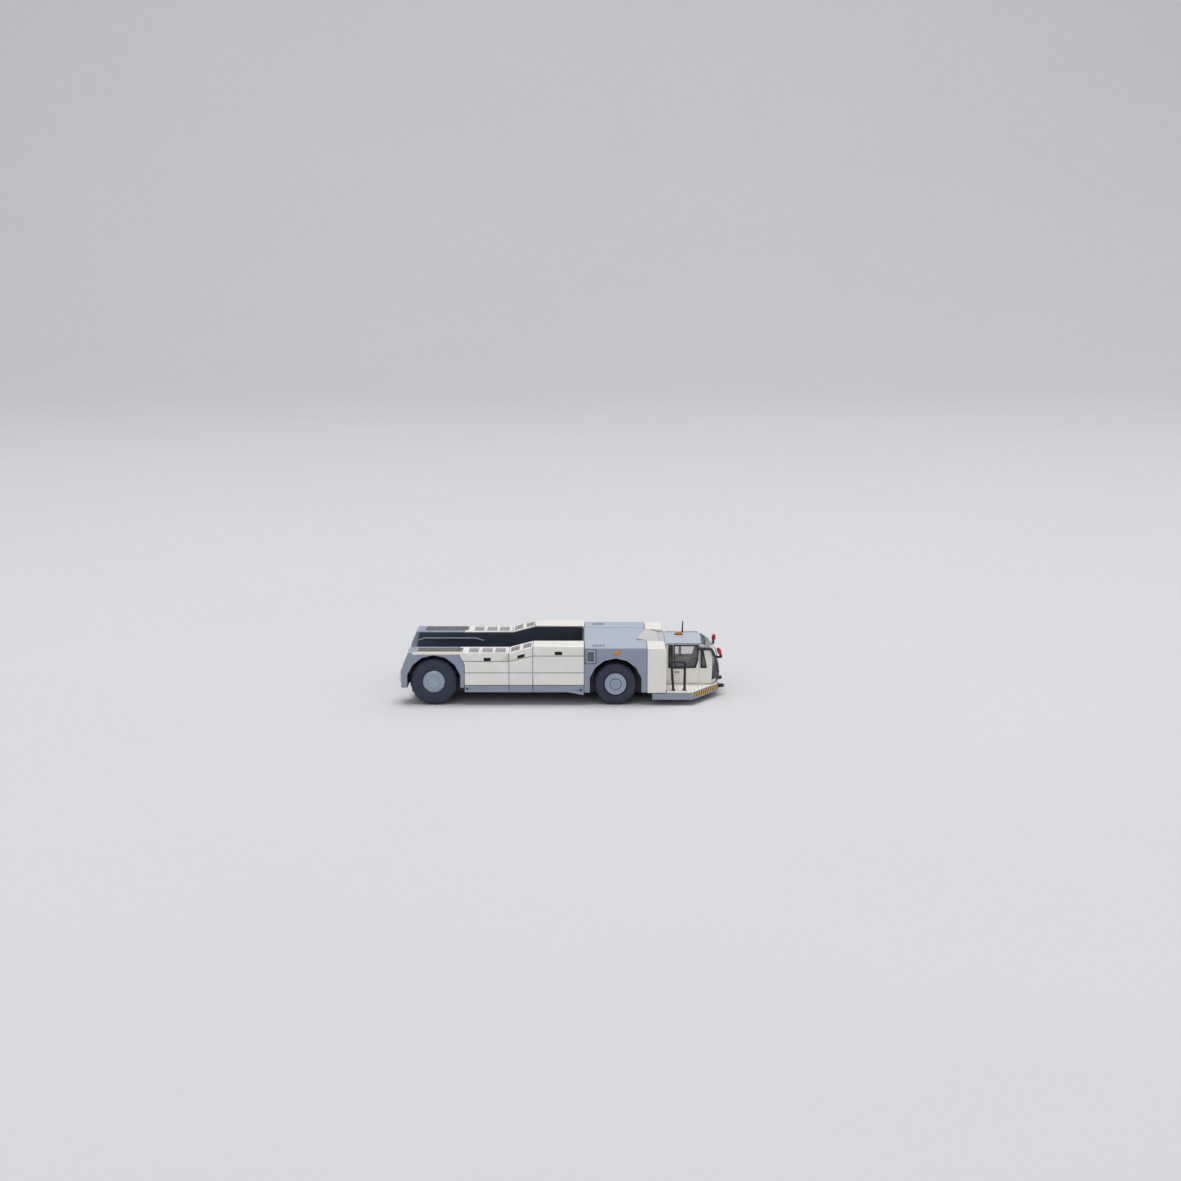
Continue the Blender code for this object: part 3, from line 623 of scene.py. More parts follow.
def make_flank(name, sign):
    face = sign * side
    deep = face - sign * groove_depth
    out = face + sign
    cutter = bmesh.new()
    rear, front = flank_start - 1.0, deck_start + 1.0
    kinked = [
        (rear, upper_seam),
        (kink_start, upper_seam),
        (kink_end, upper_seam_high),
        (front, upper_seam_high),
    ]
    strip(cutter, kinked, groove, "Y", deep, out)
    strip(cutter, [(rear, lower_seam), (front, lower_seam)], groove, "Y", deep, out)
    y0, y1 = spread(sign, 4.0, 12.0)
    for x in (kink_start, kink_end):
        upright_seam(cutter, x, face, sign)
        bottom = flank_top(x) - groove_depth
        box(cutter, (x - groove / 2, y0, bottom), (x + groove / 2, y1, high_deck + 1.0))
    for x0, x1 in louvre_spans:
        pocket = sloped(x0, x1, -louvre_depth, 1.0)
        prism(cutter, pocket, "Y", sign * louvre_inner, sign * louvre_outer)
    for x0, x1, low, high in slot_spans:
        prism(cutter, sloped(x0, x1, low, high), "Y", face - sign * 0.30, out)
    refined("flank_" + name, WHITE, 0.10, 3, cutter)

    slats = bmesh.new()
    gap = 0.03
    for x0, x1 in louvre_spans:
        count = 7
        pitch = (x1 - x0) / count
        slope = (flank_top(x1) - flank_top(x0)) / (x1 - x0)
        for k in range(count):
            x = x0 + pitch * k
            top = flank_top(x0) + slope * (x - x0)
            foot = top - louvre_depth + 0.005
            slat = [
                (x + 0.02, foot),
                (x + pitch - 0.02, foot + slope * pitch),
                (x + pitch - 0.03, top + slope * pitch - 0.05),
                (x + pitch * 0.55, top + slope * pitch * 0.55 - 0.05),
            ]
            prism(slats, slat, "Y", sign * (louvre_inner + gap), sign * (louvre_outer - gap))
    piece("flank_louvres_" + name, slats, LOUVRE)

    vents = bmesh.new()
    back = face - sign * 0.29
    for x0, x1, low, high in slot_spans:
        outline = sloped(x0, x1, low, high, -0.01)
        prism(vents, outline, "Y", back, face - sign * 0.18)
        hoop(vents, outline, sloped(x0, x1, low, high, -0.07), "Y", back, face + sign * 0.03)
        for share in (0.33, 0.67):
            height = low + (high - low) * share
            bar = [
                (x0 + 0.05, flank_top(x0) + height - 0.03),
                (x1 - 0.05, flank_top(x1) + height - 0.03),
                (x1 - 0.05, flank_top(x1) + height + 0.03),
                (x0 + 0.05, flank_top(x0) + height + 0.03),
            ]
            prism(vents, bar, "Y", face - sign * 0.20, face - sign * 0.04)
    piece("flank_vents_" + name, vents, TRIM)


def make_sill(name, sign):
    face = sign * (side - 0.05)
    cutter = bmesh.new()
    for x in (kink_start, kink_end):
        upright_seam(cutter, x, face, sign)
    plugs = bmesh.new()
    for x, z in ((flank_start + 0.39, sill_high.z - 0.56), (deck_start - 0.49, sill_high.z - 0.79)):
        prism(cutter, circle((x, z), 0.17), "Y", face - sign * 0.12, face + sign)
        prism(plugs, circle((x, z), 0.15), "Y", face - sign * 0.12, face - sign * 0.02, 0.15)
    refined("sill_" + name, GREY, 0.05, 2, cutter)
    piece("sill_plugs_" + name, plugs, TRIM)


# The wheel arches, lined in black.


def wheel_place(end):
    """The wheel's centre along X and Z, and its tyre's radius."""
    low, high = node_box(end + "_tyre_left")
    return (low.x + high.x) / 2.0, (low.z + high.z) / 2.0, (high.x - low.x) / 2.0


def arch_line(end, clearance, foot, grow=0.0):
    """An arch's line: six facets and two straight legs."""
    x, z, tyre = wheel_place(end)
    facets = 6
    radius = (tyre + clearance) / math.cos(math.radians(75.0 / facets)) + grow
    line = []
    for k in range(facets + 1):
        angle = math.radians(15.0 + 150.0 * k / facets)
        line.append((x + radius * math.cos(angle), z + radius * math.sin(angle)))
    return [(line[0][0], foot), *line, (line[-1][0], foot)]


def make_well(end, clearance, foot, name, sign):
    """The liner of a wheel arch: a band round the wheel and a wall behind it."""
    well = bmesh.new()
    line = arch_line(end, clearance, foot, -0.04)
    strip(well, line, 0.05, "Y", sign * (side - 0.16), sign * (well_inside + 0.03))
    prism(well, line, "Y", sign * (well_inside + 0.06), sign * (well_inside + 0.01))
    piece(end + "_well_" + name, well, BLACK)


# The rear fenders, with their walkways and tail lamps.

rear_clearance = 0.45
tread_start = tail + 2.45
tread_end = flank_start - 0.35
tread_inner = 7.30
tread_outer = 10.25
tail_lamp_low = 3.30
tail_lamp_high = 5.00


def make_rear_fender(name, sign):
    refined("rear_fender_" + name, GREY, 0.10, 3)
    make_well("rear", rear_clearance, fender_low.z + 0.03, name, sign)
    inner, outer = spread(sign, tread_inner, tread_outer)
    mat = bmesh.new()
    top = low_deck + 0.07
    outline = filleted(rectangle(tread_start, tread_end, inner, outer), 0.2, True)
    prism(mat, outline, "Z", low_deck - 0.05, top)
    pitch = 0.375
    half = 0.13
    for row in range(int((outer - inner) / pitch)):
        for column in range(int((tread_end - tread_start) / pitch)):
            x = tread_start + pitch * (column + 0.75)
            y = inner + pitch * (row + 0.75)
            if x > tread_end - 0.15 or y > outer - 0.15:
                continue
            lean = half if (row + column) % 2 else -half
            stud = [(x - half, y - lean), (x, y + 0.03), (x + half, y + lean), (x, y - 0.03)]
            prism(mat, stud, "Z", top - 0.01, top + 0.045, 0.3)
    piece("walkway_" + name, mat, GRIP)
    # A white strip round the grey fender's top outer edge: a painted highlight along that edge.
    rim = bmesh.new()
    y0, y1 = spread(sign, tread_outer + 0.44, side + 0.015)
    box(rim, (tail + 1.70, y0, low_deck - 0.28), (tread_end + 0.20, y1, low_deck + 0.04))
    piece("fender_edge_highlight_" + name, rim, WHITE, edge=0.02)
    if sign < 0:
        line = bmesh.new()
        y0, y1 = spread(sign, tread_outer + 0.06, tread_outer + 0.42)
        box(line, (tread_start, y0, low_deck - 0.05), (tread_end, y1, low_deck + 0.05))
        piece("walkway_line", line, LINE, edge=0.02)

    middle = sign * (side - 2.4)
    housing = bmesh.new()
    frame_low, frame_high = tail_lamp_low - 0.15, tail_lamp_high + 0.15
    outline = plate(middle - 1.25, middle + 1.25, frame_low, frame_high, 0.12)
    prism(housing, outline, "X", tail - 0.14, tail + 0.20)
    piece("tail_lamp_housing_" + name, housing, LOUVRE, edge=0.03)
    for label, at, half, paint in (
        ("clear", -0.76, 0.34, LAMP),
        ("amber", -0.04, 0.30, AMBER),
        ("red", 0.70, 0.36, RED),
    ):
        cover = bmesh.new()
        y = middle - sign * at
        outline = plate(y - half, y + half, tail_lamp_low, tail_lamp_high, 0.10)
        prism(cover, outline, "X", tail - 0.12, tail - 0.34, 0.12)
        piece("tail_lamp_" + label + "_" + name, cover, paint)
    bolts = bmesh.new()
    for y in (middle - 1.75, middle + 1.75):
        for z in (3.0, 4.9):
            bolt(bolts, (tail, y, z), 0.13, -0.06, "X")
    piece("tail_bolts_" + name, bolts, TRIM)


# The nose-gear bay.


# Ribs across the bay's floor, behind the cradle and in front of it.
bay_ribs = (-22.3, -21.2, -20.1, -5.6, -4.4, -3.2, -2.0)


def make_bay():
    refined("bay_floor", BLACK, 0.06)
    ribs = bmesh.new()
    top = floor_high.z
    for x in bay_ribs:
        box(ribs, (x - 0.12, -5.6, top - 0.02), (x + 0.12, 5.6, top + 0.12))
    for y in (-4.9, 4.9):
        for k in range(8):
            bolt(ribs, (-16.6 + 1.35 * k, y, top - 0.01), 0.16, 0.10)
    piece("bay_ribs", ribs, BLACK, edge=0.03, segments=1)
    for name, sign in SIDES:
        refined("bay_liner_" + name, BLACK, 0.05)
        refined("bay_rail_" + name, RAIL, 0.05)
        make_gate(name, sign)
    refined("bay_front_wall", BLACK, 0.05)
    face = node_box("bay_front_wall")[0].x
    plates = bmesh.new()
    for y in (-3.9, -1.3, 1.3, 3.9):
        outline = plate(y - 1.05, y + 1.05, 3.2, 7.6, 0.2)
        prism(plates, outline, "X", face - 0.10, face + 0.02)
    piece("front_wall_panels", plates, BLACK, edge=0.03)
    make_cradle()


def make_gate(name, sign):
    refined("cradle_gate_" + name, INSIDE, 0.10)
    low, high = node_box("cradle_gate_" + name)
    pads = bmesh.new()
    y0, y1 = spread(sign, 1.45, 3.6)
    for k in range(4):
        z = low.z + 0.20 + 0.36 * k
        box(pads, (high.x - 0.03, y0, z), (high.x + 0.10, y1, z + 0.22))
    pin = (low.x + 0.75, sign * 5.05, high.z)
    head = [(0.0, -0.02), (0.40, -0.02), (0.40, 0.12), (0.30, 0.20), (0.0, 0.20)]
    turned(pads, head, pin, "Z", 24)
    piece("gate_pads_" + name, pads, RUBBER, edge=0.03)


def make_cradle():
    refined("nose_gear_cradle", INSIDE, 0.10, 3)
    low, high = node_box("nose_gear_cradle")
    rollers = bmesh.new()
    roller = [(0.0, -3.5), (0.16, -3.5), (0.20, -3.4), (0.20, 3.4), (0.16, 3.5), (0.0, 3.5)]
    for x in (1.9, 2.9, 3.9):
        turned(rollers, roller, (low.x + x, 0.0, low.z + 0.74), "Y", 24)
    piece("cradle_rollers", rollers, STEEL)
    cheeks = bmesh.new()
    outline = [
        (low.x + 0.6, low.z + 0.1),
        (high.x - 0.2, low.z + 0.1),
        (high.x - 0.2, high.z + 0.25),
        (high.x - 1.3, high.z + 0.25),
        (low.x + 3.0, low.z + 1.3),
        (low.x + 0.6, low.z + 0.9),
    ]
    for sign in (-1.0, 1.0):
        y0, y1 = spread(sign, high.y - 0.02, high.y + 0.22)
        prism(cheeks, filleted(outline, 0.3, True), "Y", y0, y1)
    piece("cradle_cheeks", cheeks, INSIDE, edge=0.05)
    rams = bmesh.new()
    for y in (-2.2, 2.2):
        start = (high.x - 0.3, y, low.z + 2.1)
        middle = (high.x + 3.0, y, low.z + 1.7)
        tube(rams, [start, middle], 0.26)
        tube(rams, [middle, (-1.3, y, low.z + 1.1)], 0.42)
    piece("cradle_rams", rams, STEEL)


# The front fenders and the engine deck between them.

front_clearance = 0.70
marker_x = 7.87
vent_start = 4.38
vent_end = 5.98
# The hatch in the front fender's side, and the window of blades in it.
hatch = (deck_start + 0.07, deck_start + 1.86, engine_deck - 2.39, engine_deck - 0.13)
hatch_window = (hatch[0] + 0.42, hatch[1] - 0.42, hatch[2] + 0.42, hatch[3] - 0.42)


def make_front_fender(name, sign):
    face = sign * side
    vent = (vent_start, vent_end, *spread(sign, 8.0, 9.9))
    cutter = bmesh.new()
    cut_hatch(cutter, face, sign)
    x0, x1, y0, y1 = vent
    box(cutter, (x0, y0, engine_deck - 0.22), (x1, y1, engine_deck + 1.0))
    refined("front_fender_" + name, GREY, 0.10, 3, cutter)
    make_hatch(name, face, sign)

    marker = bmesh.new()
    x, z = marker_x, engine_deck - 0.62
    outline = plate(x - 0.58, x + 0.58, z - 0.25, z + 0.25, 0.22)
    prism(marker, outline, "Y", face - sign * 0.03, face + sign * 0.13, 0.12)
    piece("side_marker_" + name, marker, AMBER, edge=0.03)

    make_well("front", front_clearance, front_low.z + 0.03, name, sign)
    # A raised lip round the arch, in paler paint that is a painted highlight along the arch's edge.
    lip = bmesh.new()
    lip_line = arch_line("front", front_clearance, front_low.z + 0.05, 0.07)
    strip(lip, lip_line, 0.13, "Y", face - sign * 0.10, face + sign * 0.06)
    piece("arch_lip_" + name, lip, DECK, edge=0.02, segments=1)
    make_deck_skin(name, sign, vent)


def cut_hatch(cutter, face, sign):
    x0, x1, z0, z1 = hatch
    inner = rectangle(x0 + 0.08, x1 - 0.08, z0 + 0.08, z1 - 0.08)
    hoop(cutter, rectangle(*hatch), inner, "Y", face - sign * 0.08, face + sign)
    prism(cutter, rectangle(*hatch_window), "Y", face - sign * 0.30, face + sign)


def make_hatch(name, face, sign):
    x0, x1, z0, z1 = hatch_window
    screen = bmesh.new()
    prism(screen, rectangle(*hatch_window), "Y", face - sign * 0.29, face - sign * 0.20)
    for k in range(6):
        z = z0 + 0.08 + (z1 - z0 - 0.1) * k / 6
        blade = [(0.22, z), (0.22, z + 0.06), (0.08, z + 0.17), (0.08, z + 0.11)]
        prism(screen, [(face - sign * depth, height) for depth, height in blade], "X", x0, x1)
    piece("hatch_blades_" + name, screen, GREY)
    rim = bmesh.new()
    outer = plate(x0 - 0.14, x1 + 0.14, z0 - 0.14, z1 + 0.14, 0.12)
    hoop(rim, outer, plate(*hatch_window, 0.08), "Y", face - sign * 0.05, face + sign * 0.05)
    piece("hatch_rim_" + name, rim, DECK, edge=0.02, segments=1)


def make_deck_skin(name, sign, vent):
    """The paler top of the fender, round a grille that lies in its vent."""
    top = bmesh.new()
    x0, x1, y0, y1 = vent
    inner, outer = 6.05, 10.75
    for near, far, start, end in (
        (inner, outer, deck_start + 0.12, x0 - 0.1),
        (inner, outer, x1 + 0.1, block_start - 0.1),
        (inner, 7.9, x0 - 0.1, x1 + 0.1),
        (10.0, outer, x0 - 0.1, x1 + 0.1),
    ):
        low_y, high_y = spread(sign, near, far)
        box(top, (start, low_y, engine_deck - 0.05), (end, high_y, engine_deck + 0.015))
    piece("deck_skin_" + name, top, DECK)
    bars = bmesh.new()
    pitch = 0.27
    for k in range(int((x1 - x0) / pitch)):
        x = x0 + pitch * (k + 0.2)
        low, high = engine_deck - 0.20, engine_deck - 0.02
        shape = [(x, low), (x + 0.06, low), (x + 0.16, high), (x + 0.10, high)]
        prism(bars, shape, "Y", y0, y1)
    box(bars, (x0, y0, engine_deck - 0.215), (x1, y1, engine_deck - 0.17))
    piece("deck_grilles_" + name, bars, LOUVRE)


def make_deck():
    refined("engine_deck", DECK, 0.05, 2)
    fixings = bmesh.new()
    plateau = node_box("engine_deck")[1].z - 0.17
    for x in (deck_start + 0.5, deck_start + 3.4, deck_start + 6.3):
        for y in (-2.6, 2.6):
            bolt(fixings, (x, y, plateau), 0.10, 0.07)
    piece("deck_fixings", fixings, DECK, edge=0.015, segments=1)


# The white cowl and the blocks beside the cab.


def make_cowl():
    """The cowl slopes down to the cab, under a hood with a slanted rear edge."""
    # The cowl and its hood are white; their greyer enamel is painted shade on their slope.
    refined("cab_cowl", SHADED_WHITE, 0.08, 3)
    for name, _ in SIDES:
        refined("cab_flank_" + name, WHITE, 0.20, 4)
    hood_end = cowl_high.x - 0.95
    near, far = -3.4, 4.9
    back, front = engine_deck + 0.12, roof_high.z - 0.02
    corners = [
        (block_start - 1.47, near, back),
        (hood_end, near, front),
        (hood_end, far, front),
        (block_start + 0.13, far, back),
    ]
    hood = bmesh.new()
    base = [hood.verts.new((x, y, engine_deck - 0.50)) for x, y, _ in corners]
    joined(hood, [base, [hood.verts.new(corner) for corner in corners]])
    piece("cowl_hood", hood, SHADED_WHITE, edge=0.09, segments=3)
    fairing = bmesh.new()
    slope = [
        (hood_end + 0.03, roof_high.z - 0.50),
        (cowl_high.x + 0.02, roof_high.z - 0.50),
        (cowl_high.x + 0.02, roof_high.z - 0.10),
        (hood_end + 0.03, roof_high.z - 0.02),
    ]
    prism(fairing, slope, "Y", -roof_high.y + 0.10, roof_high.y - 0.10)
    piece("roof_fairing", fairing, ROOF, edge=0.04)


# The cab.

# A height, how far the screen's side edges stand behind the cab's corner there, and the share of
# the screen's whole bulge that its middle has.
SCREEN_PROFILE = (
    (0.0, 0.30, 1.0),
    (3.20, 0.08, 1.0),
    (4.00, 0.03, 0.94),
    (4.80, 0.00, 0.80),
    (6.30, 0.00, 0.58),
    (7.40, 0.20, 0.42),
    (8.34, 1.70, 0.18),
)
window_low = 4.70
window_top = cab_high.z - 0.10
shield_low = 2.65
shield_high = 4.85
brow_low = 7.40


def screen_at(height, column):
    """One column of the screen's profile at any height."""
    for lower, upper in zip(SCREEN_PROFILE, SCREEN_PROFILE[1:]):
        if height <= upper[0]:
            share = (height - lower[0]) / (upper[0] - lower[0])
            return lower[column] + (upper[column] - lower[column]) * share
    return SCREEN_PROFILE[-1][column]


def bowed(across):
    """The share of a bow at a place across it, from -1 to 1."""
    return max(0.0, math.cos(across * math.pi / 2.0)) ** 0.8


def screen_x(across, height):
    """How far forward the screen stands, from -1 at its right edge to 1 at its left one."""
    bow = screen_bulge * screen_at(height, 2)
    return cab_corner - screen_at(height, 1) + bow * bowed(across)


def bowed_wall(bm, heights, half, thickness, proud=0.0, steps=32, limits=(-1.0, 1.0)):
    """A curved wall that follows the windscreen, between two shares of its width."""
    rows = []
    for height in heights:
        outer, inner = [], []
        for k in range(steps + 1):
            across = limits[0] + (limits[1] - limits[0]) * k / steps
            x = screen_x(across, height) + proud
            outer.append(bm.verts.new((x, across * half, height)))
            inner.append(bm.verts.new((x - thickness, across * half, height)))
        rows.append((outer, inner))
    for (outer, inner), (outer_next, inner_next) in zip(rows, rows[1:]):
        for k in range(steps):
            bm.faces.new((outer[k], outer[k + 1], outer_next[k + 1], outer_next[k]))
            bm.faces.new((inner[k], inner_next[k], inner_next[k + 1], inner[k + 1]))
        bm.faces.new((outer[0], outer_next[0], inner_next[0], inner[0]))
        bm.faces.new((outer[-1], inner[-1], inner_next[-1], outer_next[-1]))
    for outer, inner in (rows[0], rows[-1]):
        for k in range(steps):
            bm.faces.new((outer[k], inner[k], inner[k + 1], outer[k + 1]))


def levels(low, high, steps=12):
    return [low + (high - low) * k / steps for k in range(steps + 1)]


def make_windscreen():
    half = screen_high.y
    whole = levels(screen_low.z, screen_high.z)
    bm = bmesh.new()
    bowed_wall(bm, whole, half, 0.25)
    piece("windscreen_glass", bm, SCREEN, replaces=("windscreen",))
    bm = bmesh.new()
    bowed_wall(bm, levels(screen_high.z - 0.11, screen_high.z, 2), half, 0.12, 0.05)
    for limits in ((-1.0, -0.975), (0.975, 1.0)):
        bowed_wall(bm, whole, half, 0.12, 0.05, 3, limits)
    piece("windscreen_seal", bm, FITTING)

    wipers = bmesh.new()
    foot_height = 3.55
    for pivot in (-0.48, 0.42):
        swept = pivot - 0.22
        foot = (screen_x(pivot, foot_height) + 0.12, pivot * half, foot_height)
        tube(wipers, [foot, (screen_x(swept, 5.7) + 0.12, swept * half, 5.7)], 0.055, sides=8)
        blade = [(screen_x(swept, z) + 0.07, swept * half, z) for z in (4.7, 5.2, 5.7, 6.2, 6.7)]
        tube(wipers, blade, 0.05, sides=8)
        turned(wipers, [(0.0, -0.1), (0.12, -0.1), (0.12, 0.05), (0.0, 0.08)], foot, "X", 16)
    piece("wipers", wipers, FITTING)

    low = panel_low.z
    bm = bmesh.new()
    bowed_wall(bm, levels(low, panel_high.z, 6), half, 0.45)
    piece("front_panel_shell", bm, WHITE, replaces=("cab_front_panel",))
    bm = bmesh.new()
    wide = (-0.62, 0.62)
    bowed_wall(bm, levels(low + 0.10, panel_high.z + 0.02, 4), half, 0.2, 0.07, 24, wide)
    for k in range(5):
        z = low + 0.22 + 0.22 * k
        bowed_wall(bm, [z, z + 0.09], half, 0.1, 0.12, 24, (-0.55, 0.55))
    piece("front_grille", bm, FITTING)
    bm = bmesh.new()
    bowed_wall(bm, levels(shield_low, shield_high, 10), half, 0.12, 0.06)
    piece("front_shield", bm, FITTING)


def window_outlines():
    """The three side windows, from the rear one forward."""
    rear = rectangle(cab_start + 0.55, cab_start + 0.98, window_low, window_top)
    door = [
        (cab_start + 1.35, window_low),
        (cab_start + 4.55, window_low),
        (cab_start + 4.90, window_low + 1.10),
        (cab_start + 4.98, window_top),
        (cab_start + 1.35, window_top),
    ]
    quarter = [
        (cab_start + 5.48, window_low),
        (cab_start + 6.20, window_low),
        (cab_start + 5.62, window_top - 0.45),
        (cab_start + 5.48, window_top - 0.45),
    ]
    return rear, door, quarter


def grown(outline, amount):
    """An outline moved outward on every side by an even amount. The points run anticlockwise."""
    points = [Vector(point) for point in outline]
    count = len(points)
    made = []
    for i, point in enumerate(points):
        before = (point - points[i - 1]).normalized()
        after = (points[(i + 1) % count] - point).normalized()
        first = Vector((before.y, -before.x))
        second = Vector((after.y, -after.x))
        bisector = (first + second).normalized()
        made.append(point + bisector * (amount / max(0.35, bisector.dot(first))))
    return made


def make_cab_side(name, sign):
    low, high = node_box("cab_side_" + name)
    face = sign * high.y if sign > 0 else low.y
    out = face + sign
    cutter = bmesh.new()
    seam = [
        (cab_start + 1.12, window_top),
        (cab_start + 1.12, panel_low.z + 0.28),
        (cab_start + 5.15, panel_low.z + 0.28),
        (cab_start + 5.20, window_low + 0.9),
        (cab_start + 5.24, window_top),
    ]
    strip(cutter, seam, 0.05, "Y", face - sign * 0.05, out)
    brow = [
        (cab_corner - 0.20, brow_low),
        (cab_corner + 2.0, brow_low),
        (cab_corner + 2.0, brow_low + 1.6),
        (cab_corner - 2.75, brow_low + 1.6),
    ]
    prism(cutter, brow, "Y", 0.0, sign * side)
    refined("cab_side_" + name, WHITE, 0.06, 2, cutter)
    seals = bmesh.new()
    for outline in window_outlines():
        outer = filleted(grown(outline, 0.13), 0.18, True)
        inner = filleted(grown(outline, -0.07), 0.10, True)
        hoop(seals, outer, inner, "Y", face - sign * 0.40, face + sign * 0.05)
    piece("window_seals_" + name, seals, FITTING, edge=0.015, segments=1)
    dressed("side_glass_" + name, GLASS)
    handle = bmesh.new()
    x, z = cab_start + 1.45, window_low - 0.75
    y = face + sign * 0.20
    tube(handle, [(x, face, z), (x, y, z), (x + 0.62, y, z), (x + 0.62, face, z)], 0.05, 0.12, 8)
    piece("door_fittings_" + name, handle, FITTING)


def make_cab_roof():
    """The roof: a plate with a rolled edge, crowned a little, that bows with the windscreen."""
    half = roof_high.y
    front = cab_corner - 1.75
    steps = 32
    outline = [(cab_start, -half)]
    for k in range(steps + 1):
        across = -1.0 + 2.0 * k / steps
        outline.append((front + screen_bulge * 0.20 * bowed(across), across * half))
    outline.append((cab_start, half))
    bm = bmesh.new()
    prism(bm, outline, "Z", roof_low.z, roof_high.z - 0.04)
    middle = Vector((cab_start + 2.9, 0.0))
    crown = [middle + (Vector(pair) - middle) * 0.93 for pair in outline]
    prism(bm, crown, "Z", roof_high.z - 0.06, roof_high.z, 0.02)
    piece("roof_panel", bm, ROOF, edge=0.06, segments=3, replaces=("cab_roof",))
    gutters = bmesh.new()
    for y0, y1 in ((-half + 0.12, -half + 0.24), (half - 0.24, half - 0.12)):
        rear_end = (cab_start + 0.2, y0, roof_high.z - 0.05)
        box(gutters, rear_end, (front - 0.05, y1, roof_high.z + 0.03))
    piece("roof_gutters", gutters, FITTING, edge=0.02, segments=1)
    make_beacon()
    make_antenna()


def make_beacon():
    low, high = node_box("roof_beacon")
    foot = bmesh.new()
    outline = plate(low.x - 0.06, high.x + 0.06, low.y - 0.05, high.y + 0.05, 0.12)
    prism(foot, outline, "Z", roof_high.z - 0.02, low.z + 0.06)
    piece("beacon_foot", foot, FITTING, edge=0.02)
    cover = bmesh.new()
    prism(cover, plate(low.x, high.x, low.y, high.y, 0.25), "Z", low.z + 0.04, high.z, 0.16)
    for k in range(5):
        x = low.x + 0.22 + 0.175 * k
        fin_low = (x - 0.02, low.y + 0.02, low.z + 0.06)
        box(cover, fin_low, (x + 0.02, high.y - 0.02, high.z - 0.12))
    piece("beacon_cover", cover, AMBER, edge=0.04, replaces=("roof_beacon",))


def make_antenna():
    low, high = node_box("roof_antenna")
    x, y, _ = (low + high) / 2.0
    whip = bmesh.new()
    foot = [(0.0, 0.0), (0.24, 0.0), (0.22, 0.10), (0.12, 0.26), (0.0, 0.28)]
    turned(whip, foot, (x, y, roof_high.z), "Z", 24)
    tube(whip, [(x, y, roof_high.z + 0.2), (x + 0.10, y, high.z)], 0.13, end_radius=0.09)
    piece("antenna_whip", whip, TRIM, replaces=("roof_antenna",))


def make_inside():
    dressed("cab_floor", INSIDE)
    dressed("rear_glass", GLASS)
    refined("cab_back", WHITE, 0.05)
    make_seat()
    make_console()
    make_steering_wheel()


def make_seat():
    low, high = node_box("driver_seat")
    middle = (low + high) / 2.0
    cushion = [
        (low.x + 0.15, low.z + 1.75),
        (high.x, low.z + 2.0),
        (high.x, low.z + 2.45),
        (low.x + 0.5, low.z + 2.35),
    ]
    back = [
        (low.x + 0.1, low.z + 2.1),
        (low.x + 0.62, low.z + 2.4),
        (low.x + 0.48, high.z - 0.6),
        (low.x, high.z - 0.6),
    ]
    head = rectangle(low.x + 0.02, low.x + 0.38, high.z - 0.52, high.z)
    rest = rectangle(low.x + 0.35, high.x - 0.25, low.z + 3.0, low.z + 3.16)
    seat = bmesh.new()
    for outline, radius, y0, y1 in (
        (cushion, 0.22, low.y, high.y),
        (back, 0.20, low.y + 0.08, high.y - 0.08),
        (head, 0.14, middle.y - 0.42, middle.y + 0.42),
        (rest, 0.07, low.y + 0.02, low.y + 0.24),
        (rest, 0.07, high.y - 0.24, high.y - 0.02),
    ):
        prism(seat, filleted(outline, radius, True), "Y", y0, y1)
    stands_for = ("driver_seat",)
    piece("seat_cushions", seat, SEAT, edge=0.06, segments=3, replaces=stands_for)
    stand = bmesh.new()
    foot_high = (high.x - 0.3, middle.y + 0.5, low.z + 0.35)
    box(stand, (low.x + 0.3, middle.y - 0.5, low.z), foot_high)
    bellows = [(0.42 if k % 2 else 0.52, 0.34 + 0.24 * k) for k in range(6)]
    turned(stand, [(0.0, 0.3), *bellows, (0.0, 1.74)], (middle.x, middle.y, low.z), "Z", 20)
    piece("seat_stand", stand, INSIDE)


def make_console():
    refined("driver_console", INSIDE, 0.08, 3)
    low, high = node_box("driver_console")
    top = bmesh.new()
    for y in (-2.9, -0.4, 0.6, 1.6, 2.6, 3.4):
        prism(top, circle((low.x + 0.9, y), 0.24, 20), "Z", high.z - 0.35, high.z + 0.03)
    for k in range(6):
        y = 0.2 + 0.42 * k
        box(top, (low.x + 0.25, y, high.z - 0.5), (low.x + 0.42, y + 0.22, high.z - 0.20))
    tube(top, [(low.x + 1.7, 1.8, high.z - 0.5), (low.x + 1.7, 1.8, cab_high.z - 0.1)], 0.16)
    piece("console_controls", top, TRIM)


def make_steering_wheel():
    """The wheel is drawn flat round the origin, then tilted and put in its place."""
    low, high = node_box("steering_wheel")
    wheel = bmesh.new()
    turned(wheel, circle((0.70, 0.0), 0.07, 10), (0, 0, 0), "Z", 40, looped=True)
    for k in range(3):
        angle = math.tau * (k / 3.0 + 0.25)
        end = (0.68 * math.cos(angle), 0.68 * math.sin(angle), 0.0)
        tube(wheel, [(0, 0, -0.05), end], 0.05, sides=8)
    hub = [(0.0, -0.14), (0.16, -0.14), (0.16, 0.06), (0.0, 0.08)]
    turned(wheel, hub, (0, 0, 0), "Z", 20)
    tube(wheel, [(0, 0, -0.1), (0, 0, -0.75)], 0.08, sides=10)
    place = Matrix.Translation((low + high) / 2.0 + Vector((-0.05, 0, 0.1)))
    wheel.transform(place @ Matrix.Rotation(math.radians(-25), 4, "Y"))
    piece("steering_wheel_rim", wheel, FITTING, replaces=("steering_wheel",))


# The platform at the front, its steps, rails, stripes and tow hooks.

corner_start = cab_corner - 3.20
bumper_half = 4.20


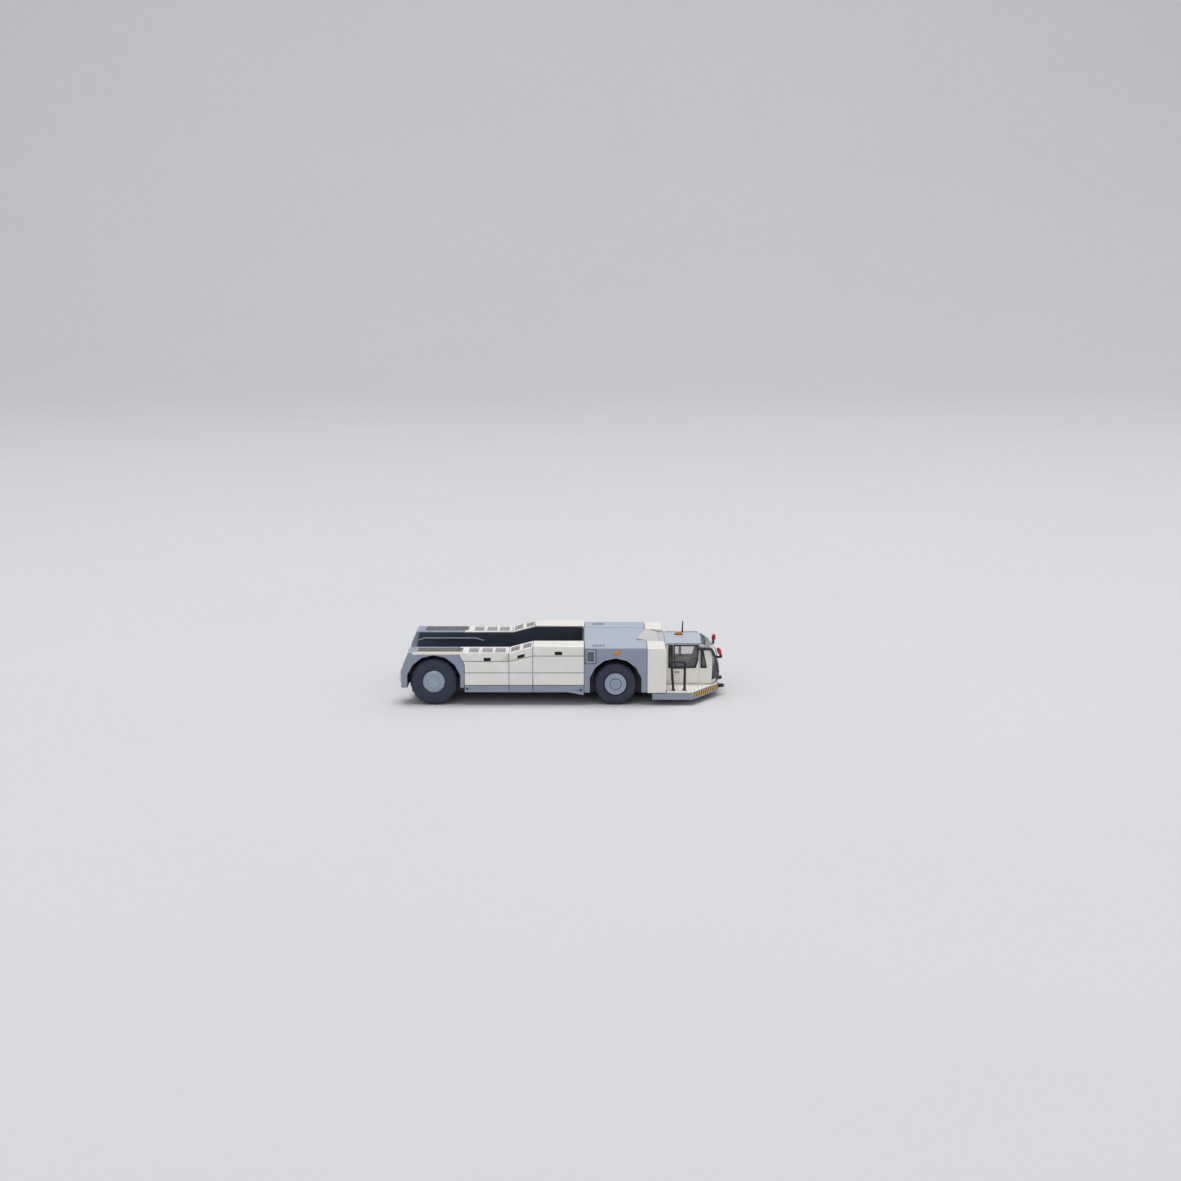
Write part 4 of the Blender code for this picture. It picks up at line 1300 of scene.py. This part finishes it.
def make_platform():
    refined("front_platform", GREY, 0.07, 2)
    make_stripes()
    for name, sign in SIDES:
        make_step(name, sign)
        make_rail(name)
        make_hook(name)
        lamp = bmesh.new()
        ring = [(0.0, 0.0), (0.15, 0.0), (0.15, 0.06), (0.10, 0.09), (0.0, 0.10)]
        place = (platform_high.x - 0.02, sign * 2.0, platform_low.z + 0.19)
        turned(lamp, ring, place, "X", 24)
        piece("front_lamp_" + name, lamp, LAMP)
    make_apron()


def make_stripes():
    """The yellow band round the platform's edge, with black stripes on it."""
    corners = [
        Vector((corner_start, -side)),
        Vector((platform_high.x, -bumper_half)),
        Vector((platform_high.x, bumper_half)),
        Vector((corner_start, side)),
    ]
    low = platform_high.z - 0.62
    high = platform_high.z - 0.05
    band = bmesh.new()
    stripes = bmesh.new()
    for start, end in zip(corners, corners[1:]):
        length = (end - start).length
        along = (end - start).normalized()
        outward = Vector((along.y, -along.x))

        def slab(bm, spots, depth):
            """A slab on this edge, from (distance along it, height) pairs."""
            rings = []
            for out in (-0.06, depth):
                flat = [start + along * distance + outward * out for distance, _ in spots]
                rings.append([bm.verts.new((*spot, z)) for spot, (_, z) in zip(flat, spots)])
            joined(bm, rings)

        slab(band, [(0.08, low), (length - 0.03, low), (length - 0.03, high), (0.08, high)], 0.03)
        count = int(length / 0.72)
        step = length / count
        lean = 0.36
        for k in range(count):
            left = 0.05 + step * (k + 0.1)
            right = min(length - 0.04, left + step / 2)
            top_right = min(length - 0.03, right + lean)
            top_left = min(length - 0.05, left + lean)
            stripe = [(left, low), (right, low), (top_right, high), (top_left, high)]
            slab(stripes, stripe, 0.045)
    piece("warning_band", band, YELLOW)
    piece("warning_stripes", stripes, TRIM)


def make_step(name, sign):
    top = step_high.z
    starts = [step_low.x + 0.42 + 0.62 * k for k in range(10)]
    cutter = bmesh.new()
    ribs = bmesh.new()
    for x in starts:
        y0, y1 = spread(sign, step_low.y - 0.02, side + 0.5)
        box(cutter, (x, y0, top - 0.06), (x + 0.14, y1, top + 0.5))
        reach = side - 0.20 - max(0.0, (x - corner_start + 0.2)) * 1.64
        y0, y1 = spread(sign, step_low.y + 0.05, reach)
        box(ribs, (x + 0.02, y0, top - 0.065), (x + 0.12, y1, top - 0.02))
    refined("cab_step_" + name, WHITE, 0.03, 1, cutter)
    piece("step_grooves_" + name, ribs, WHITE)


def make_apron():
    """The white plate between the windscreen's foot and the platform's edge."""
    top = platform_high.z
    plan = []
    for k in range(25):
        across = -1.0 + 2.0 * k / 24
        x = min(platform_high.x - 0.17, screen_x(across, top) + 0.06)
        plan.append((x, across * panel_high.y))
    half = step_low.y - 0.05
    slant = (platform_high.x - corner_start) / (side - bumper_half)
    reach = corner_start + slant * (side - half) - 0.12
    front = platform_high.x - 0.07
    middle = bumper_half - 0.03
    plan += [(reach, half), (front, middle), (front, -middle), (reach, -half)]
    apron = bmesh.new()
    prism(apron, plan, "Z", top - 0.02, top + 0.10)
    piece("front_apron", apron, WHITE, edge=0.03)


def make_rail(name):
    low, high = node_box("step_rail_" + name)
    y = (low.y + high.y) / 2.0
    radius = 0.20
    lean = 0.30
    x0 = low.x + radius + 0.05
    x1 = high.x - radius + 0.05
    top = high.z - radius
    feet = (x0 + lean, x1 - 0.05)
    bm = bmesh.new()
    loop = [(feet[0], y, low.z), (x0, y, top), (x1, y, top), (feet[1], y, low.z)]
    tube(bm, loop, radius, 0.3, 14)
    bar = high.z - 1.10
    share = (bar - low.z) / (top - low.z)
    tube(bm, [(x0 + lean * (1 - share), y, bar), (x1, y, bar)], radius * 0.85, 0.1, 12)
    flange = [(0.0, -0.01), (0.30, -0.01), (0.30, 0.07), (0.20, 0.12), (0.0, 0.12)]
    for x in feet:
        turned(bm, flange, (x, y, low.z), "Z", 20)
    piece("step_handrail_" + name, bm, TRIM, replaces=("step_rail_" + name,))


def make_hook(name):
    node = "tow_hook_" + name
    low, high = node_box(node)
    middle = (low + high) / 2.0
    plan = [
        (low.x, low.y),
        (high.x - 0.35, low.y),
        (high.x, middle.y - 0.16),
        (high.x, middle.y + 0.16),
        (high.x - 0.35, high.y),
        (low.x, high.y),
    ]
    outer = filleted(plan, 0.16, True)
    hole = circle((middle.x + 0.12, middle.y), 0.17, len(outer))
    start = min(range(len(hole)), key=lambda k: (Vector(hole[k]) - outer[0]).length)
    eye = bmesh.new()
    hoop(eye, outer, hole[start:] + hole[:start], "Z", low.z, high.z)
    piece(node + "_eye", eye, TRIM, edge=0.04, replaces=(node,))
    seat = bmesh.new()
    outline = plate(middle.y - 0.55, middle.y + 0.55, low.z - 0.12, high.z + 0.1, 0.12)
    prism(seat, outline, "X", platform_high.x - 0.05, low.x + 0.14)
    piece(node + "_seat", seat, TRIM, edge=0.03)


# The mirrors.


def make_mirror(name, sign):
    """The arm with its clamps, and a head that leans with the arm's end."""
    arm_low, arm_high = node_box("mirror_arm_" + name)
    low, high = node_box("mirror_" + name)
    y = (arm_low.y + arm_high.y) / 2.0
    radius = 0.19
    elbow_x = arm_high.x - 1.17
    elbow_z = arm_low.z + 0.17
    arm_height = 7.60
    lean = math.radians(24.0 if sign < 0 else -6.0)
    foot = Vector((elbow_x + 1.0, y, elbow_z))
    rise = Vector((-math.sin(lean), 0.0, math.cos(lean)))
    arm = [
        (arm_low.x + 0.05, y, arm_height),
        (elbow_x - 0.55, y, arm_height),
        (elbow_x, y, elbow_z),
        tuple(foot),
        tuple(foot + rise * 0.46),
    ]
    bm = bmesh.new()
    tube(bm, arm, radius, 0.34, 12)
    for x in (arm_low.x + 0.20, arm_low.x + 1.3):
        clamp = plate(x - 0.16, x + 0.16, arm_height - 0.20, arm_height + 0.20, 0.06)
        prism(bm, clamp, "Y", y - sign * 0.21, y + sign * 0.13)
    piece("mirror_stalk_" + name, bm, TRIM, replaces=("mirror_arm_" + name,))
    middle = (low + high) / 2.0
    facing = rise.cross(Vector((0.0, 1.0, 0.0)))
    # Each ring's depth and its share of the head's size, from the glass to the back of the shell.
    shells = (
        (-0.20, 0.60),
        (-0.20, 0.78),
        (-0.26, 0.84),
        (-0.22, 0.96),
        (0.02, 1.0),
        (0.16, 0.84),
        (0.22, 0.50),
    )
    head = bmesh.new()
    rings = []
    for depth, size in shells:
        centre = middle + Vector((0.0, -sign * depth, 0.0))
        around = [facing * (0.33 * x) + rise * (0.60 * z) for x, z in circle((0, 0), size, 28)]
        rings.append([head.verts.new(centre + spot) for spot in around])
    joined(head, rings)
    piece("mirror_head_" + name, head, RED, replaces=("mirror_" + name,))


# Wheels. The tyres keep the CAD's radius, and their tread is cut into it.


def tyre_mesh(bm, centre, radius, half, sign, rim):
    """A tyre as rings of points: each spot of the profile turns round, and shoulder lugs dip."""
    # A radius, a place across the tyre, and the share of a lug's depth that it dips.
    profile = [
        (rim, 0.16 - half, 0.0),
        (rim + 0.12, 0.04 - half, 0.0),
        (rim + 0.50, -half, 0.0),
        (rim + 0.56, -0.03 - half, 0.0),
        (rim + 0.66, -0.03 - half, 0.0),
        (rim + 0.72, -half, 0.0),
        (radius - 0.62, 0.01 - half, 0.0),
        (radius - 0.40, 0.06 - half, 0.0),
        (radius - 0.22, 0.15 - half, 0.6),
        (radius - 0.08, 0.30 - half, 0.9),
        (radius - 0.015, 0.50 - half, 1.0),
        (radius, 0.80 - half, 1.0),
        (radius - 0.09, 0.84 - half, 0.2),
        (radius - 0.09, 0.93 - half, 0.2),
        (radius, 0.97 - half, 0.35),
    ]
    mirrored = [(reach, -across, lug) for reach, across, lug in profile[::-1]]
    steps = 144
    rings = []
    for reach, across, lug in profile + mirrored:
        ring = []
        for k in range(steps):
            angle = math.tau * k / steps
            dips = k % 6 == 0 or (k % 6 == 1 and lug >= 0.9)
            size = reach - (0.09 * lug if dips else 0.0)
            spot = Vector((size * math.cos(angle), sign * across, size * math.sin(angle)))
            ring.append(bm.verts.new(centre + spot))
        rings.append(ring)
    joined(bm, rings, looped=True)


def make_wheel(end, name, sign, body):
    low, high = node_box(end + "_tyre_" + name)
    centre = (low + high) / 2.0
    radius = (high.x - low.x) / 2.0
    half = (high.y - low.y) / 2.0
    low, high = node_box(end + "_rim_" + name)
    rim = (high.x - low.x) / 2.0
    bm = bmesh.new()
    tyre_mesh(bm, centre, radius, half, sign, rim + 0.03)
    piece(end + "_tread_" + name, bm, RUBBER, body, replaces=(end + "_tyre_" + name,))

    face = half + 0.20
    bore = 0.60
    # The disc's profile, as (radius, place across): its back, its front and its hollow.
    back = [
        (bore, 0.06 - half),
        (rim - 0.30, 0.06 - half),
        (rim - 0.12, 0.02 - half),
        (rim, 0.14 - half),
        (rim, half - 0.06),
    ]
    if end == "rear":
        nut_ring = 1.19
        front = [
            (rim - 0.05, half),
            (1.42, face - 0.03),
            (1.38, face),
            (1.02, face),
            (0.99, face - 0.035),
            (0.95, face - 0.035),
            (0.92, face),
            (0.0, face),
        ]
    else:
        nut_ring = 1.24
        front = [
            (rim - 0.04, half + 0.03),
            (1.60, face - 0.04),
            (1.55, face),
            (0.92, face - 0.02),
            (0.87, face - 0.09),
            (0.80, face - 0.09),
            (0.76, face + 0.02),
            (0.40, face + 0.03),
            (0.34, face - 0.03),
            (0.0, face - 0.03),
        ]
    hollow = [(0.0, half - 0.75), (bore, half - 0.75)]
    profile = [(reach, sign * across) for reach, across in back + front + hollow]
    bm = bmesh.new()
    turned(bm, profile, centre, "Y", 72, looped=True)
    piece(end + "_disc_" + name, bm, HUB, body, replaces=(end + "_rim_" + name,))
    nuts = bmesh.new()
    start = centre.y + sign * (face - 0.02)
    for x, z in circle((centre.x, centre.z), nut_ring, 10, 0.5):
        prism(nuts, circle((x, z), 0.075, 6), "Y", start, start + sign * 0.05, 0.15)
    valve = centre + Vector((1.50 * math.cos(0.6), sign * half, 1.50 * math.sin(0.6)))
    tube(nuts, [valve, valve + Vector((0.0, sign * 0.14, 0.0))], 0.04, sides=8)
    piece(end + "_nuts_" + name, nuts, HUB, body)


# The underside.


def make_underside():
    """Two screws and low ribs under the chassis plate, and ribs under the bay's floor."""
    refined("chassis_plate", BLACK, 0.06)
    base = node_box("chassis_plate")[0].z
    screws = bmesh.new()
    head = [(0.0, 0.02), (0.42, 0.02), (0.42, -0.05), (0.34, -0.10), (0.0, -0.10)]
    for x in (0.6, 12.6):
        turned(screws, head, (x, 0.0, base), "Z", 28)
        for long, wide in ((0.28, 0.045), (0.045, 0.28)):
            blade = rectangle(x - long, x + long, -wide, wide)
            prism(screws, blade, "Z", base - 0.105, base - 0.085)
    piece("base_screws", screws, STEEL)
    ribs = bmesh.new()
    outer = plate(3.2, 11.9, -3.2, 3.2, 0.5)
    hoop(ribs, outer, plate(3.4, 11.7, -3.0, 3.0, 0.4), "Z", base - 0.06, base + 0.02)
    lengthwise = [(-0.5, 13.0, y, base) for y in (-4.6, 4.6)]
    base = node_box("bay_floor")[0].z
    lengthwise += [(-22.6, -1.8, y, base) for y in (-4.6, -1.6, 1.6, 4.6)]
    for x0, x1, y, z in lengthwise:
        prism(ribs, plate(x0, x1, y - 0.12, y + 0.12, 0.1), "Z", z - 0.06, z + 0.02)
    for x in (-17.5, -7.0):
        prism(ribs, plate(x - 0.12, x + 0.12, -5.0, 5.0, 0.1), "Z", base - 0.06, base + 0.02)
    piece("base_ribs", ribs, BLACK, edge=0.02, segments=1)


# The camera, the lights and the floor.


def make_stage():
    """A pale floor that curves up into a wall behind the model. Its sizes are in metres."""
    reach = 3.0
    bend_start = 0.55
    bend = 0.45
    line = [(-reach, 0.0), (bend_start, 0.0)]
    for k in range(1, 13):
        angle = math.radians(90.0 * k / 12)
        line.append((bend_start + bend * math.sin(angle), bend * (1.0 - math.cos(angle))))
    line.append((bend_start + bend, 2.5))
    bm = bmesh.new()
    rows = [[bm.verts.new((x, y, z)) for x in (-reach, reach)] for y, z in line]
    for a, b in zip(rows, rows[1:]):
        bm.faces.new((a[0], a[1], b[1], b[0]))
    mesh = bpy.data.meshes.new("studio_floor")
    saved(bm, mesh)
    mesh.shade_smooth()
    floor = shown("studio_floor", mesh)
    paper = Surface("studio paper", tone(205, 205, 206), 0.9)
    paper.mottled(0.01, 0.02)
    mesh.materials.append(paper.grained(0.01, 1.0).material)


def make_light(name, place, target, size, power):
    light = bpy.data.lights.new(name, "AREA")
    light.shape = "DISK"
    light.size = size
    light.energy = power
    obj = shown(name, light)
    obj.location = place
    obj.rotation_euler = (Vector(target) - Vector(place)).to_track_quat("-Z", "Y").to_euler()


def make_lights():
    world = bpy.data.worlds.new("studio")
    bpy.context.scene.world = world
    world.use_nodes = True
    sky = world.node_tree.nodes["Background"]
    sky.inputs["Color"].default_value = (0.93, 0.95, 1.0, 1.0)
    sky.inputs["Strength"].default_value = 0.60
    make_light("overhead softbox", (0.0, -0.05, 0.75), (0.0, 0.0, 0.0), 0.60, 3.4)
    make_light("front fill", (-0.25, -0.75, 0.35), (0.0, 0.0, 0.005), 0.40, 0.36)
    make_light("rear rim", (0.5, 0.45, 0.45), (0.0, 0.0, 0.005), 0.30, 0.36)
    make_light("backdrop wash", (0.0, 0.25, 1.0), (0.0, 1.0, 0.4), 0.60, 1.5)


def make_camera():
    """The photo's view: square to the model's right side, and looking down a little."""
    data = bpy.data.cameras.new("camera")
    data.lens = 68.59
    data.sensor_width = 36.0
    data.clip_start = 0.01
    data.clip_end = 20.0
    camera = shown("camera", data)
    place = Vector((3.97, -342.8, 74.47))
    look_down = 9.72
    camera.location = place * MM
    camera.rotation_euler = (math.radians(90.0 - look_down), 0.0, 0.0)
    bpy.context.scene.camera = camera


make_camera()
make_lights()
make_stage()
for side_name, side_sign in SIDES:
    make_flank(side_name, side_sign)
    make_sill(side_name, side_sign)
    make_rear_fender(side_name, side_sign)
    make_front_fender(side_name, side_sign)
    make_cab_side(side_name, side_sign)
    make_mirror(side_name, side_sign)
    make_wheel("rear", side_name, side_sign, "rear_wheel_" + side_name)
    make_wheel("front", side_name, side_sign, "front_axle")
    dressed("stub_axle_" + side_name, STEEL)
dressed("front_axle_shaft", STEEL)
make_bay()
make_deck()
make_cowl()
make_windscreen()
make_cab_roof()
make_inside()
make_platform()
make_underside()
bpy.context.scene.view_settings.view_transform = "Standard"
